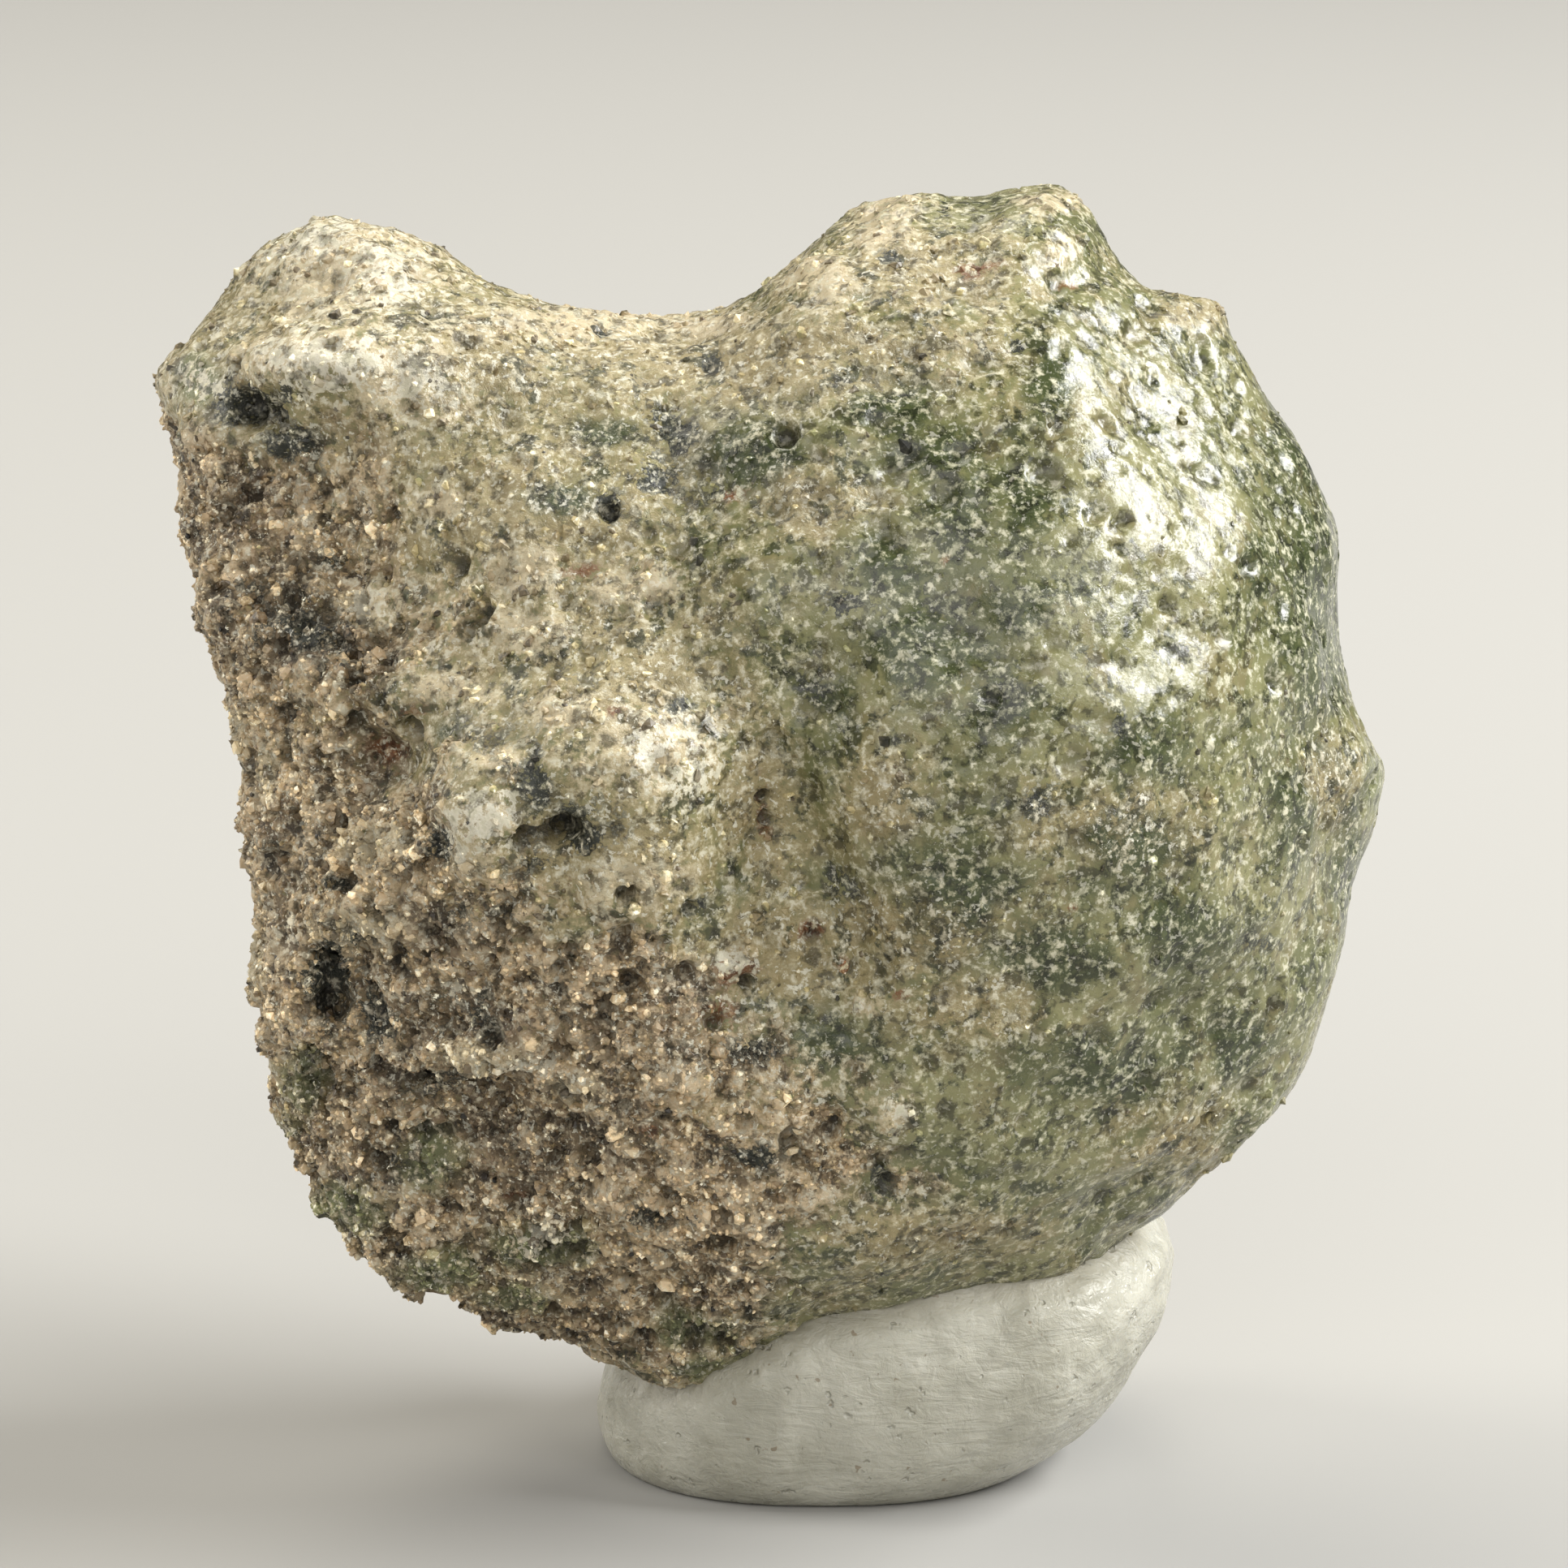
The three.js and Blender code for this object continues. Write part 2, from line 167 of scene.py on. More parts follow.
def skin_of(node_name, name, voxel, smoothing):
    """An evenly meshed copy of a measured solid, in mm, with a point every voxel mm."""
    copy = bpy.data.objects.new(name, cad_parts[node_name].data.copy())
    bpy.context.scene.collection.objects.link(copy)
    copy.data.materials.clear()
    copy.data.transform(Matrix.Scale(1 / MM, 4))
    only(copy)
    bpy.ops.object.mode_set(mode="EDIT")
    bpy.ops.mesh.select_all(action="SELECT")
    bpy.ops.mesh.remove_doubles(threshold=0.002)
    bpy.ops.mesh.normals_make_consistent(inside=False)
    bpy.ops.object.mode_set(mode="OBJECT")
    remesh = copy.modifiers.new("even_skin", "REMESH")
    remesh.mode = "VOXEL"
    remesh.voxel_size = voxel
    melt = copy.modifiers.new("melt_the_facets", "SMOOTH")
    melt.factor = 0.5
    melt.iterations = smoothing
    bpy.ops.object.modifier_apply(modifier="even_skin")
    bpy.ops.object.modifier_apply(modifier="melt_the_facets")
    print(name, "has", len(copy.data.vertices), "points and", 2 * len(copy.data.polygons), "triangles")
    return copy


def points_of(thing):
    flat = np.empty(3 * len(thing.data.vertices), np.float32)
    thing.data.vertices.foreach_get("co", flat)
    return flat.reshape(-1, 3).astype(float)


def normals_of(thing):
    flat = np.empty(3 * len(thing.data.vertices), np.float32)
    thing.data.vertices.foreach_get("normal", flat)
    return flat.reshape(-1, 3).astype(float)


def set_points(thing, points):
    thing.data.vertices.foreach_set("co", points.astype(np.float32).ravel())
    thing.data.update()


stone = skin_of("trinitite", "trinitite_stone", voxel=0.071, smoothing=10)

# %% [markdown]
# ## Random but repeatable
#
# Melted sand is random at every size. Two kinds of randomness make nearly all of it: a smooth drift, for
# lumps and for ragged edges of colour, and buried grains, where each point knows how far away the nearest
# grain's middle is. Both start from fixed seeds, so the stone comes out the same each time.

# %% Drift and grains
HASH = np.array([73856093, 19349663, 83492791])
TABLE = 65536


def smooth_step(value, low, high):
    t = np.clip((value - low) / (high - low), 0, 1)
    return t * t * (3 - 2 * t)


def drift(points, size, seed):
    """Smooth random values from -1 to 1 that change over about size mm."""
    draw = np.random.default_rng(seed)
    turn, _ = np.linalg.qr(draw.normal(size=(3, 3)))
    values = draw.uniform(-1, 1, TABLE)
    spread = points @ turn / size + draw.uniform(0, 100, 3)
    cell = np.floor(spread).astype(int)
    part = spread - cell
    part = part * part * (3 - 2 * part)
    total = np.zeros(len(points))
    for corner in np.ndindex(2, 2, 2):
        share = np.prod(np.where(corner, part, 1 - part), axis=1)
        total += share * values[(cell + corner) @ HASH % TABLE]
    return total


def nearest_grain(points, size, seed):
    """Distance in mm to the nearest scattered grain's middle, and that grain's own number from 0 to 1."""
    places = np.random.default_rng(seed).uniform(0, 1, (TABLE, 4))
    spread = points / size
    cell = np.floor(spread).astype(int)
    best = np.full(len(points), 9.0)
    number = np.zeros(len(points))
    for step in np.ndindex(3, 3, 3):
        at = cell + step - 1
        row = places[at @ HASH % TABLE]
        gap = np.linalg.norm(at + row[:, :3] - spread, axis=1)
        number = np.where(gap < best, row[:, 3], number)
        best = np.minimum(best, gap)
    return best * size, number


# %% [markdown]
# ## Where each point is seen
#
# Every mark and form of the face is placed by where it is seen in the picture. So each point of the skin gets
# its place there, and its height above the stone's middle plane, which tells the front from the back. The
# seam between the two wanders, as it does where glass ran down over the sand.

# %% Where each point of the stone is seen
def seen_at(points):
    """Picture place (x, y), and height above the middle plane towards the eye in mm."""
    away = points - STONE_MIDDLE
    towards = away @ TOWARDS
    zoom = VIEW_MM / (VIEW_MM - towards) / UNIT_MM
    return PICTURE_MIDDLE + away[:, 0] * zoom, PICTURE_MIDDLE - away @ UPWARDS * zoom, towards


skin = points_of(stone)
see_x, see_y, towards = seen_at(skin)
seam_wander = np.clip(0.4 + 0.75 * drift(skin, 1.6, 17) + 0.3 * drift(skin, 0.5, 18), 0, 1.1)
front = smooth_step(towards + seam_wander, -0.9, 0.3)
print("front share of the skin", round(float((front > 0.5).mean()), 2))

# %% [markdown]
# ## Which parts are glass and which are sand
#
# The right two thirds of the face melted through and are glossy. The left side and the lower left are sand
# that only half melted: rough, brown and full of bubbles. The border between them wanders. The whole back is
# sand too, apart from the burst bubbles, which are smooth inside.

# %% Sand and glass
BORDER = [  # picture height, and where the sand ends there, from the top of the stone down
    (250, 180), (430, 250), (560, 390), (700, 480), (820, 540), (930, 560), (1040, 640), (1140, 760),
    (1230, 900), (1350, 990), (1450, 1080), (1560, 1040), (1700, 900),
]
BURST_BUBBLES = [  # across and up from the stone's middle, and radius, in mm, on the back
    (-2.4, 2.3, 1.5), (2.6, -1.4, 1.3), (2.7, 3.2, 0.85), (-3.3, -2.1, 0.65), (0.4, 4.3, 0.5), (-1.9, -0.7, 0.5),
]
ragged = 130 * drift(skin, 1.3, 11) + 90 * drift(skin, 0.45, 12) + 60 * drift(skin, 0.2, 13)
edge = np.interp(see_y, *np.transpose(BORDER))
sand_in_front = smooth_step(edge - see_x + ragged, -130, 170)
across = (skin - STONE_MIDDLE)[:, 0]
upwards = (skin - STONE_MIDDLE) @ UPWARDS
in_bubble = np.zeros(len(skin))
for x, y, radius in BURST_BUBBLES:
    gap = np.hypot(across - x, upwards - y) / radius + 0.12 * drift(skin, 0.4, 14)
    in_bubble = np.maximum(in_bubble, smooth_step(gap, 1.15, 0.7) * (towards < 0))
sand_behind = (1 - in_bubble) * smooth_step(0.75 + drift(skin, 1.6, 15) + 0.4 * drift(skin, 0.4, 16), 0, 0.5)
sand = front * sand_in_front + (1 - front) * sand_behind
print("sandy share", round(float((sand > 0.5).mean()), 2))

# %% [markdown]
# ## Marks
#
# The colour of each part comes mostly from what melted there. Iron gives charcoal blots, browner smoke round
# them, brown sand and rust. Part of the smoke is painted shade, on a shadow line and in dark hollows, and part
# of the brown is painted shade, under the left horn and on the lower left. Each kind is a short list of soft
# ovals, placed where they are seen.

# %% Dark marks: x, y, half-width and half-height in the picture
CHARCOAL = [
    (300, 502, 58, 30), (352, 545, 38, 22), (826, 528, 30, 30), (806, 590, 28, 32), (752, 628, 14, 15),
    (705, 1018, 54, 30), (668, 960, 16, 34), (548, 1034, 18, 26), (403, 1208, 38, 56), (452, 1262, 22, 17),
    (375, 780, 34, 26), (405, 1205, 22, 30), (296, 500, 30, 18), (712, 1022, 30, 16),
    (412, 1086, 10, 10), (740, 410, 14, 7), (878, 446, 14, 10), (862, 1112, 12, 12), (1250, 430, 12, 11),
    (1095, 320, 12, 10), (1042, 742, 26, 10), (934, 1422, 26, 18), (1082, 1452, 16, 14), (840, 868, 14, 10),
]
# Smoke round the char; some of these ovals are painted shade, on a shadow line and in dark hollows
SMOKE_AND_SHADE = [
    (385, 775, 60, 48), (330, 760, 34, 36), (372, 548, 50, 30), (815, 580, 44, 36), (882, 612, 30, 26),
    (600, 920, 50, 26), (650, 960, 44, 32), (560, 1130, 40, 24), (345, 1040, 18, 38), (1085, 742, 66, 26),
    (1165, 775, 44, 34), (1230, 858, 30, 30), (1005, 855, 30, 24), (1035, 1090, 40, 28), (540, 1345, 60, 30),
    (915, 1292, 60, 24), (492, 1425, 34, 26), (1545, 1150, 34, 26), (1385, 905, 40, 34), (410, 692, 26, 20),
    (700, 832, 26, 16), (600, 1250, 44, 24), (985, 690, 22, 16), (470, 1270, 30, 22), (620, 1120, 40, 18),
    (1280, 990, 26, 20), (800, 1500, 40, 20), (545, 1240, 40, 34), (640, 1060, 40, 20), (1330, 800, 30, 18),
    (1360, 560, 20, 16),
]
# Brown sand; partly painted shade, on the face under the left horn and on the lower left
BROWN_AND_SHADE = [
    (320, 640, 70, 80), (400, 800, 80, 60), (470, 930, 70, 40), (540, 1150, 110, 50), (600, 1400, 180, 80),
    (870, 1250, 90, 70), (640, 1270, 150, 40), (720, 690, 60, 60), (340, 1010, 30, 60), (760, 1430, 60, 30),
    (470, 1330, 60, 60),
]
RUST = [
    (905, 1195, 40, 22), (880, 1248, 36, 20), (1000, 1150, 26, 14), (895, 612, 22, 10), (338, 1062, 10, 12),
    (510, 875, 30, 12), (592, 1348, 16, 8), (800, 1400, 36, 14), (1205, 328, 36, 12), (1318, 350, 18, 10),
    (470, 930, 26, 14), (1165, 690, 9, 9), (720, 705, 24, 14), (1105, 1225, 16, 10), (640, 1480, 20, 10),
    (940, 1000, 12, 50), (1320, 1120, 12, 8), (1040, 1190, 14, 10), (760, 880, 16, 8),
]
print(len(CHARCOAL) + len(SMOKE_AND_SHADE) + len(BROWN_AND_SHADE) + len(RUST), "dark marks")

# %% [markdown]
# ## Pale and green marks
#
# Clean quartz gives cream crusts and white grains, thin glass over sand gives tan. Thick clean melt is deep
# green, and thin melt at the edges is a paler, clearer green. Some of these marks are painted light and shade:
# deep green along the right edge of the dome is painted shade, thin cream strips along the left edge are a
# painted rim light, cream and quartz on the left lobe are a painted glare over a white crust, and the clear
# green is partly a painted glow of light through the thin edges.

# %% Pale and green marks, in the same way
# Cream crusts; the thin strips along the left edge are a painted rim light, and the oval on the left lobe is a
# painted glare over a white crust
CREAM_AND_LIGHT = [
    (430, 330, 150, 90), (400, 440, 150, 50), (500, 480, 110, 56), (240, 470, 50, 40), (600, 1005, 54, 34),
    (585, 1040, 26, 26), (672, 1525, 34, 28), (1105, 1368, 32, 28), (590, 1300, 70, 30), (445, 745, 46, 28),
    (655, 700, 60, 40), (560, 850, 60, 26), (800, 925, 100, 70), (1090, 260, 70, 26), (1290, 255, 50, 18),
    (905, 1180, 44, 22), (440, 1140, 70, 34), (1010, 350, 60, 40), (1080, 290, 50, 30), (870, 400, 90, 22),
    (720, 400, 180, 28), (1310, 310, 26, 22), (700, 1340, 44, 24), (1065, 1240, 26, 16),
    (660, 780, 60, 34), (700, 880, 60, 30), (620, 940, 40, 20), (460, 1040, 60, 30), (780, 1080, 70, 40),
    (300, 900, 16, 60), (318, 1180, 12, 60), (330, 960, 12, 40), (780, 720, 60, 40), (545, 620, 40, 20),
]
TAN = [
    (900, 440, 360, 80), (620, 450, 170, 110), (1130, 340, 170, 60), (640, 640, 190, 150), (780, 830, 170, 120),
    (740, 1070, 150, 120), (1480, 380, 60, 26), (980, 1170, 170, 80), (1380, 1020, 130, 60), (1130, 1150, 130, 70),
    (400, 880, 140, 90), (1640, 960, 40, 80), (820, 1560, 180, 60), (900, 1380, 140, 60), (930, 1000, 60, 120),
    (1000, 620, 80, 60), (1090, 980, 60, 60), (1200, 1240, 90, 50), (1500, 1400, 120, 50), (1120, 1520, 160, 40),
    (450, 560, 110, 50), (480, 680, 110, 60),
]
# Deep green melt; the ovals along the right edge of the dome are painted shade
DEEP_GREEN_AND_SHADE = [
    (910, 555, 76, 50), (1150, 800, 100, 70), (1240, 880, 70, 56), (1180, 1080, 90, 80), (1290, 1180, 90, 60),
    (1000, 1290, 80, 40), (1400, 920, 80, 60), (1100, 500, 80, 36), (1450, 1150, 70, 60), (1030, 860, 40, 34),
    (1160, 560, 70, 36), (1350, 1320, 110, 50), (960, 560, 40, 30), (1270, 620, 40, 60), (1530, 1280, 60, 50),
    (1180, 640, 60, 60), (1390, 1050, 70, 60), (1250, 750, 60, 40), (560, 900, 30, 20), (1090, 700, 70, 40),
    (740, 530, 44, 24), (1290, 480, 34, 60), (1590, 1000, 40, 80), (1550, 700, 30, 80), (700, 620, 50, 24),
    (1600, 560, 50, 90), (1625, 740, 60, 240), (1660, 1050, 30, 100),
]
# White quartz; the ovals on the left lobe are a painted glare over a white crust
QUARTZ_AND_GLARE = [
    (596, 1008, 36, 26), (578, 1040, 20, 18), (628, 985, 18, 14), (1105, 1366, 26, 22), (672, 1524, 28, 22),
    (238, 470, 30, 20), (905, 1182, 26, 12), (445, 748, 30, 16), (350, 1150, 14, 26), (640, 1310, 34, 14),
    (530, 800, 22, 12), (800, 918, 44, 30), (845, 950, 26, 24), (700, 1345, 20, 14), (1064, 1240, 14, 8),
    (470, 350, 60, 40), (390, 300, 60, 30), (420, 450, 110, 36), (510, 470, 60, 36), (560, 1220, 18, 10),
    (880, 1330, 14, 10), (1310, 312, 14, 10),
]
# Paler, clearer green of thin melt at the edges, partly a painted glow of light through them
CLEAR_GREEN_AND_GLOW = [
    (365, 1340, 30, 60), (345, 1400, 22, 50), (540, 1565, 80, 36), (425, 1490, 80, 46), (525, 1430, 60, 50),
    (660, 1535, 90, 40), (1560, 1390, 90, 60),
    (250, 470, 40, 40), (850, 1640, 80, 30), (640, 1600, 70, 26), (1690, 970, 20, 50), (860, 1680, 50, 20),
]
print(len(CREAM_AND_LIGHT) + len(TAN) + len(QUARTZ_AND_GLARE) + len(DEEP_GREEN_AND_SHADE) + len(CLEAR_GREEN_AND_GLOW), "pale and green marks")

# %% [markdown]
# ## Torn edges
#
# No blot in a melt has a clean edge, so drift tears the edge of every mark. On the back, which has no marks
# of its own, each colour comes in random blots instead.

# %% Tear the marks into masks
def cover(marks, tear, seed):
    """How far each point of the front lies under these marks, with torn edges."""
    deepest = np.zeros(len(skin))
    for x, y, wide, high in marks:
        deepest = np.maximum(deepest, np.exp(-(((see_x - x) / wide) ** 2 + ((see_y - y) / high) ** 2)))
    torn = deepest + tear * (drift(skin, 0.3, seed) + 0.7 * drift(skin, 0.14, seed + 1)) * (deepest > 0.05)
    return np.clip(torn, 0, 1) * front


def scattered(size, share, seed):
    """Blots of their own all over, for the back, over about this share of it."""
    value = drift(skin, size, seed) + 0.5 * drift(skin, size / 3, seed + 1)
    return smooth_step(value, 1.1 - 1.6 * share, 1.35 - 1.6 * share) * (1 - front)


# Char, with the smoke ovals, some of which are painted shade
charcoal_and_shade = np.maximum(cover(CHARCOAL, 0.5, 21), 0.62 * cover(SMOKE_AND_SHADE, 0.6, 24))
charcoal_and_shade = np.maximum(charcoal_and_shade, scattered(0.7, 0.35, 22))
# Brown sand, partly painted shade
brown_and_shade = np.maximum(cover(BROWN_AND_SHADE, 0.35, 31), scattered(1.3, 0.5, 32))
rust = np.maximum(cover(RUST, 0.35, 41), scattered(0.5, 0.3, 42))
# Cream crust, with a painted rim light and a painted glare
cream_and_light = np.maximum(cover(CREAM_AND_LIGHT, 0.25, 51), scattered(0.9, 0.4, 52))
tan = np.maximum(cover(TAN, 0.3, 61), 0.8 * (1 - front))
tan = np.maximum(tan, 0.6 * smooth_step(960 - see_x + ragged, -100, 260) * front)
# Deep green melt, with painted shade along the dome's right edge
deep_green_and_shade = np.maximum(cover(DEEP_GREEN_AND_SHADE, 0.3, 71), 0.45 * in_bubble * (1 - front))
# Thin clear green, partly painted glow through the edges
clear_green_and_glow = cover(CLEAR_GREEN_AND_GLOW, 0.2, 81)
# White quartz, with a painted glare on the left lobe
quartz_and_glare = np.maximum(cover(QUARTZ_AND_GLARE, 0.35, 91), scattered(0.4, 0.25, 92))
for name, mask in (("charcoal_and_shade", charcoal_and_shade), ("brown_and_shade", brown_and_shade), ("rust", rust), ("cream_and_light", cream_and_light), ("tan", tan)):
    print(name, "covers", round(float(mask.mean()), 3))

# %% [markdown]
# ## Forms of the face and back
#
# Low forms that the measured solid is too coarse for: the lobe left of the middle with its hollows, ridges
# and creases in the sand, the dents on the dome. Each is a soft oval, raised or sunk by 0.05 to 0.2 mm. On the
# back the large bubbles are open bowls with a low rim, where the gas broke through the soft melt.

# %% Forms of the face
FACE_FORMS = [  # picture place, half-width and half-height there, and height in mm
    (690, 1040, 170, 150, 0.22), (740, 950, 80, 70, 0.1), (870, 850, 60, 60, -0.16), (965, 1000, 45, 130, -0.14),
    (1020, 1150, 60, 60, -0.12), (475, 935, 60, 45, -0.2), (470, 850, 80, 26, 0.12), (595, 1000, 60, 50, 0.14),
    (690, 1010, 40, 28, -0.1), (545, 1030, 20, 30, -0.08), (600, 1290, 80, 26, 0.12), (600, 1352, 60, 24, -0.2),
    (880, 1250, 60, 70, -0.14), (840, 1320, 90, 40, 0.1), (300, 505, 46, 26, -0.16), (330, 450, 120, 30, 0.12),
    (405, 1212, 60, 70, -0.12), (390, 1340, 40, 70, -0.1), (900, 560, 70, 46, 0.06), (825, 560, 34, 50, -0.06),
    (1320, 345, 40, 26, -0.1), (1200, 330, 50, 26, -0.08), (670, 1525, 40, 34, 0.1), (1105, 1368, 40, 36, 0.1),
    (780, 1430, 120, 50, -0.1), (1380, 790, 90, 60, -0.05), (640, 640, 120, 90, 0.08), (400, 700, 60, 60, -0.1),
    (360, 800, 50, 50, 0.1), (1490, 1160, 60, 80, 0.06), (1310, 580, 95, 240, 0.13),
    (1440, 620, 80, 190, -0.06), (520, 1180, 90, 60, -0.08),
]


def push(points, height):
    """Moves the stone's points out along their normals."""
    return points + normals_of(stone) * height[:, None]


form_height = np.zeros(len(skin))
for x, y, wide, high, height in FACE_FORMS:
    form_height += height * np.exp(-(((see_x - x) / wide) ** 2 + ((see_y - y) / high) ** 2))
form_height *= front
for x, y, radius in BURST_BUBBLES:
    gap = np.hypot(across - x, upwards - y) / radius
    bowl = -0.34 * radius * np.clip(1 - gap ** 2, 0, 1) + 0.09 * np.exp(-((gap - 1.08) / 0.13) ** 2)
    form_height += bowl * (towards < 0) * (1 - front)
skin = push(skin, form_height)
set_points(stone, skin)
print("forms from", round(float(form_height.min()), 2), "to", round(float(form_height.max()), 2), "mm")

# %% [markdown]
# ## Relief
#
# The glass has a soft orange-peel swell, calmer on the shoulder that mirrors the key lamp. The sand is lumpy,
# and each buried grain lifts the skin where it lies under it. How far a point is raised is kept, because the
# high places of the sand get a painted highlight and the low ones painted shade. At the nose of the dome the
# relief is held back softly, so that the stone keeps its measured depth.

# %% Swell, lumps and grains under the skin
NOSE_ROOM = 0.12  # mm that the relief may reach past the measured nose of the dome
coarse_gap, coarse_number = nearest_grain(skin, 0.3, 101)
fine_gap, _ = nearest_grain(skin, 0.17, 102)
coarse_bump = np.sqrt(np.clip(1 - (coarse_gap / 0.19) ** 2, 0, 1)) * (coarse_number > 0.45)
fine_bump = np.sqrt(np.clip(1 - (fine_gap / 0.11) ** 2, 0, 1))
lumps = 0.1 * drift(skin, 0.8, 111) + 0.07 * drift(skin, 0.4, 112)
calm = np.exp(-(((see_x - 1420) / 170) ** 2 + ((see_y - 620) / 260) ** 2)) * front
swell = (0.03 - 0.02 * calm) * drift(skin, 0.7, 113)
swell += (1 - 0.5 * calm) * (0.01 * drift(skin, 0.28, 114) + 0.007 * drift(skin, 0.14, 115))
sand_relief = lumps + 0.08 * coarse_bump + 0.055 * fine_bump - 0.05
glass_relief = swell + (0.012 - 0.008 * calm) * fine_bump
grainy = np.maximum(sand, np.maximum(0.55 * cream_and_light, 0.4 * tan) * front)
height = grainy * sand_relief + (1 - grainy) * glass_relief
height += 0.05 * cream_and_light * front - 0.03 * charcoal_and_shade
# How high a point stands, which places the painted highlight and painted shade on the sand
raised = np.clip(0.12 + 0.45 * coarse_bump + 0.4 * fine_bump + 2.2 * lumps, 0, 1)
skin = push(skin, height)
nose = cad_low[1] / MM
past = np.clip(nose - skin[:, 1], 0, None)
skin[:, 1] += past - NOSE_ROOM * np.tanh(past / NOSE_ROOM)
set_points(stone, skin)
print("relief from", round(float(height.min()), 3), "to", round(float(height.max()), 3), "mm")

# %% [markdown]
# ## Bubbles
#
# The melt boiled, and its bubbles froze as round pits: many tiny shallow ones on the glass, which make dark
# dots in the glare, and deeper, open ones in the sand. The larger ones have places of their own. Each pit
# presses the points within its radius inwards, along its own axis, and throws up a thin lip.

# %% Pits
NAMED_PITS = [  # picture place, radius and depth in mm
    (403, 1193, 0.26, 0.45), (408, 1230, 0.27, 0.4), (385, 1308, 0.22, 0.24), (388, 1340, 0.26, 0.3),
    (394, 1374, 0.18, 0.2), (365, 690, 0.13, 0.2), (372, 765, 0.16, 0.2),
    (700, 1165, 0.16, 0.2), (775, 1103, 0.14, 0.2), (770, 1160, 0.17, 0.16), (755, 627, 0.13, 0.16),
    (850, 1115, 0.1, 0.14), (300, 505, 0.3, 0.22), (335, 520, 0.22, 0.2), (700, 1010, 0.2, 0.2),
    (660, 1015, 0.14, 0.16), (550, 1035, 0.13, 0.2), (940, 985, 0.11, 0.18), (942, 1012, 0.11, 0.18),
    (590, 1352, 0.15, 0.2), (620, 1345, 0.12, 0.16), (412, 1088, 0.09, 0.12), (505, 905, 0.2, 0.22),
    (1225, 858, 0.12, 0.08), (1355, 525, 0.14, 0.09), (1380, 640, 0.12, 0.1), (1285, 590, 0.22, 0.1),
    (1570, 1240, 0.14, 0.1), (880, 1262, 0.13, 0.18), (925, 1215, 0.12, 0.16), (1000, 1160, 0.12, 0.14),
    (1160, 1075, 0.11, 0.08), (1165, 1365, 0.1, 0.08), (1440, 745, 0.13, 0.07), (1010, 560, 0.12, 0.08),
]
unpressed = skin.copy()
tree = KDTree(len(unpressed))
for i, place in enumerate(unpressed):
    tree.insert(place, i)
tree.balance()


def point_seen_at(x, y):
    """The foremost point of the stone near a place in the picture."""
    gap = np.hypot(see_x - x, see_y - y)
    return int(np.argmin(gap - 40 * (towards > 0)))


def press_pit(points, normals, middle, radius, depth):
    """Presses one round pit in, along its own axis, with a thin raised lip."""
    found = tree.find_range(unpressed[middle], 1.5 * radius)
    rows = np.array([index for _, index, _ in found])
    gap = np.array([distance for _, _, distance in found]) / radius
    facing = np.clip(normals[rows] @ normals[middle], 0, 1)
    cup = -depth * np.sqrt(np.clip(1 - gap ** 2, 0, 1)) * smooth_step(gap, 1.05, 0.75)
    lip = 0.1 * min(depth, 0.15) * np.exp(-((gap - 1.12) / 0.16) ** 2)
    points[rows] += normals[middle] * ((cup + lip) * facing)[:, None]
    return rows, gap


def scatter_pits(count, chance, low, high, steep, seed):
    """Middles, radii and depths of many pits, low to high mm in radius, drawn where chance is high."""
    draw = np.random.default_rng(seed)
    middles = draw.choice(len(skin), size=count, replace=False, p=chance / chance.sum())
    radii = low + (high - low) * draw.random(count) ** 2.5
    return zip(middles, radii, radii * draw.uniform(0.5, 1.0, count) * steep)


RARE = 0.001  # the chance of a pit where there should hardly be one
normals = normals_of(stone)
# How far inside an open pit each point lies, for the painted shade inside the pits
hollow = np.zeros(len(skin))
pits = [(point_seen_at(x, y), radius, depth) for x, y, radius, depth in NAMED_PITS]
on_glass, on_sand = front * (1 - sand), front * sand
pits += scatter_pits(900, on_glass + RARE, low=0.09, high=0.2, steep=0.4, seed=121)
pits += scatter_pits(750, on_sand + RARE, low=0.09, high=0.2, steep=1.1, seed=122)
pits += scatter_pits(900, (1 - front) * (0.1 + sand) + RARE, low=0.1, high=0.38, steep=1.0, seed=123)
for middle, radius, depth in pits:
    rows, gap = press_pit(skin, normals, middle, radius, depth)
    hollow[rows] = np.maximum(hollow[rows], smooth_step(gap, 1.0, 0.5) * min(depth / 0.15, 1))
set_points(stone, skin)
print(len(pits), "pits")

# %% [markdown]
# ## Masks
#
# Each mask is kept as one number per point, so that the materials can read it: where there is sand, char,
# rust and so on, how far the skin is raised, which places the painted highlight and shade of the sand, and
# how far inside an open pit a point lies, for the painted shade inside it.

# %% Keep the masks on the stone
def keep(thing, name, values):
    """Stores one number per point, for a material to read."""
    store = thing.data.attributes.new(name, "FLOAT", "POINT")
    store.data.foreach_set("value", np.asarray(values, np.float32))


melt_masks = {
    "sand": sand, "charcoal_and_shade": charcoal_and_shade, "brown_and_shade": brown_and_shade, "rust": rust, "cream_and_light": cream_and_light, "tan": tan,
    "deep_green_and_shade": deep_green_and_shade, "clear_green_and_glow": clear_green_and_glow, "quartz_and_glare": quartz_and_glare, "hollow": hollow, "raised": raised,
}
for name, mask in melt_masks.items():
    keep(stone, name, mask)
print(len(melt_masks), "masks kept")

# %% [markdown]
# ## A lighter back
#
# So fine a skin is only needed on the face. Behind, where whole grains cover most of it, the flattest points
# are taken out until the stone has less than 200,000 triangles. Then it goes back to its real size.

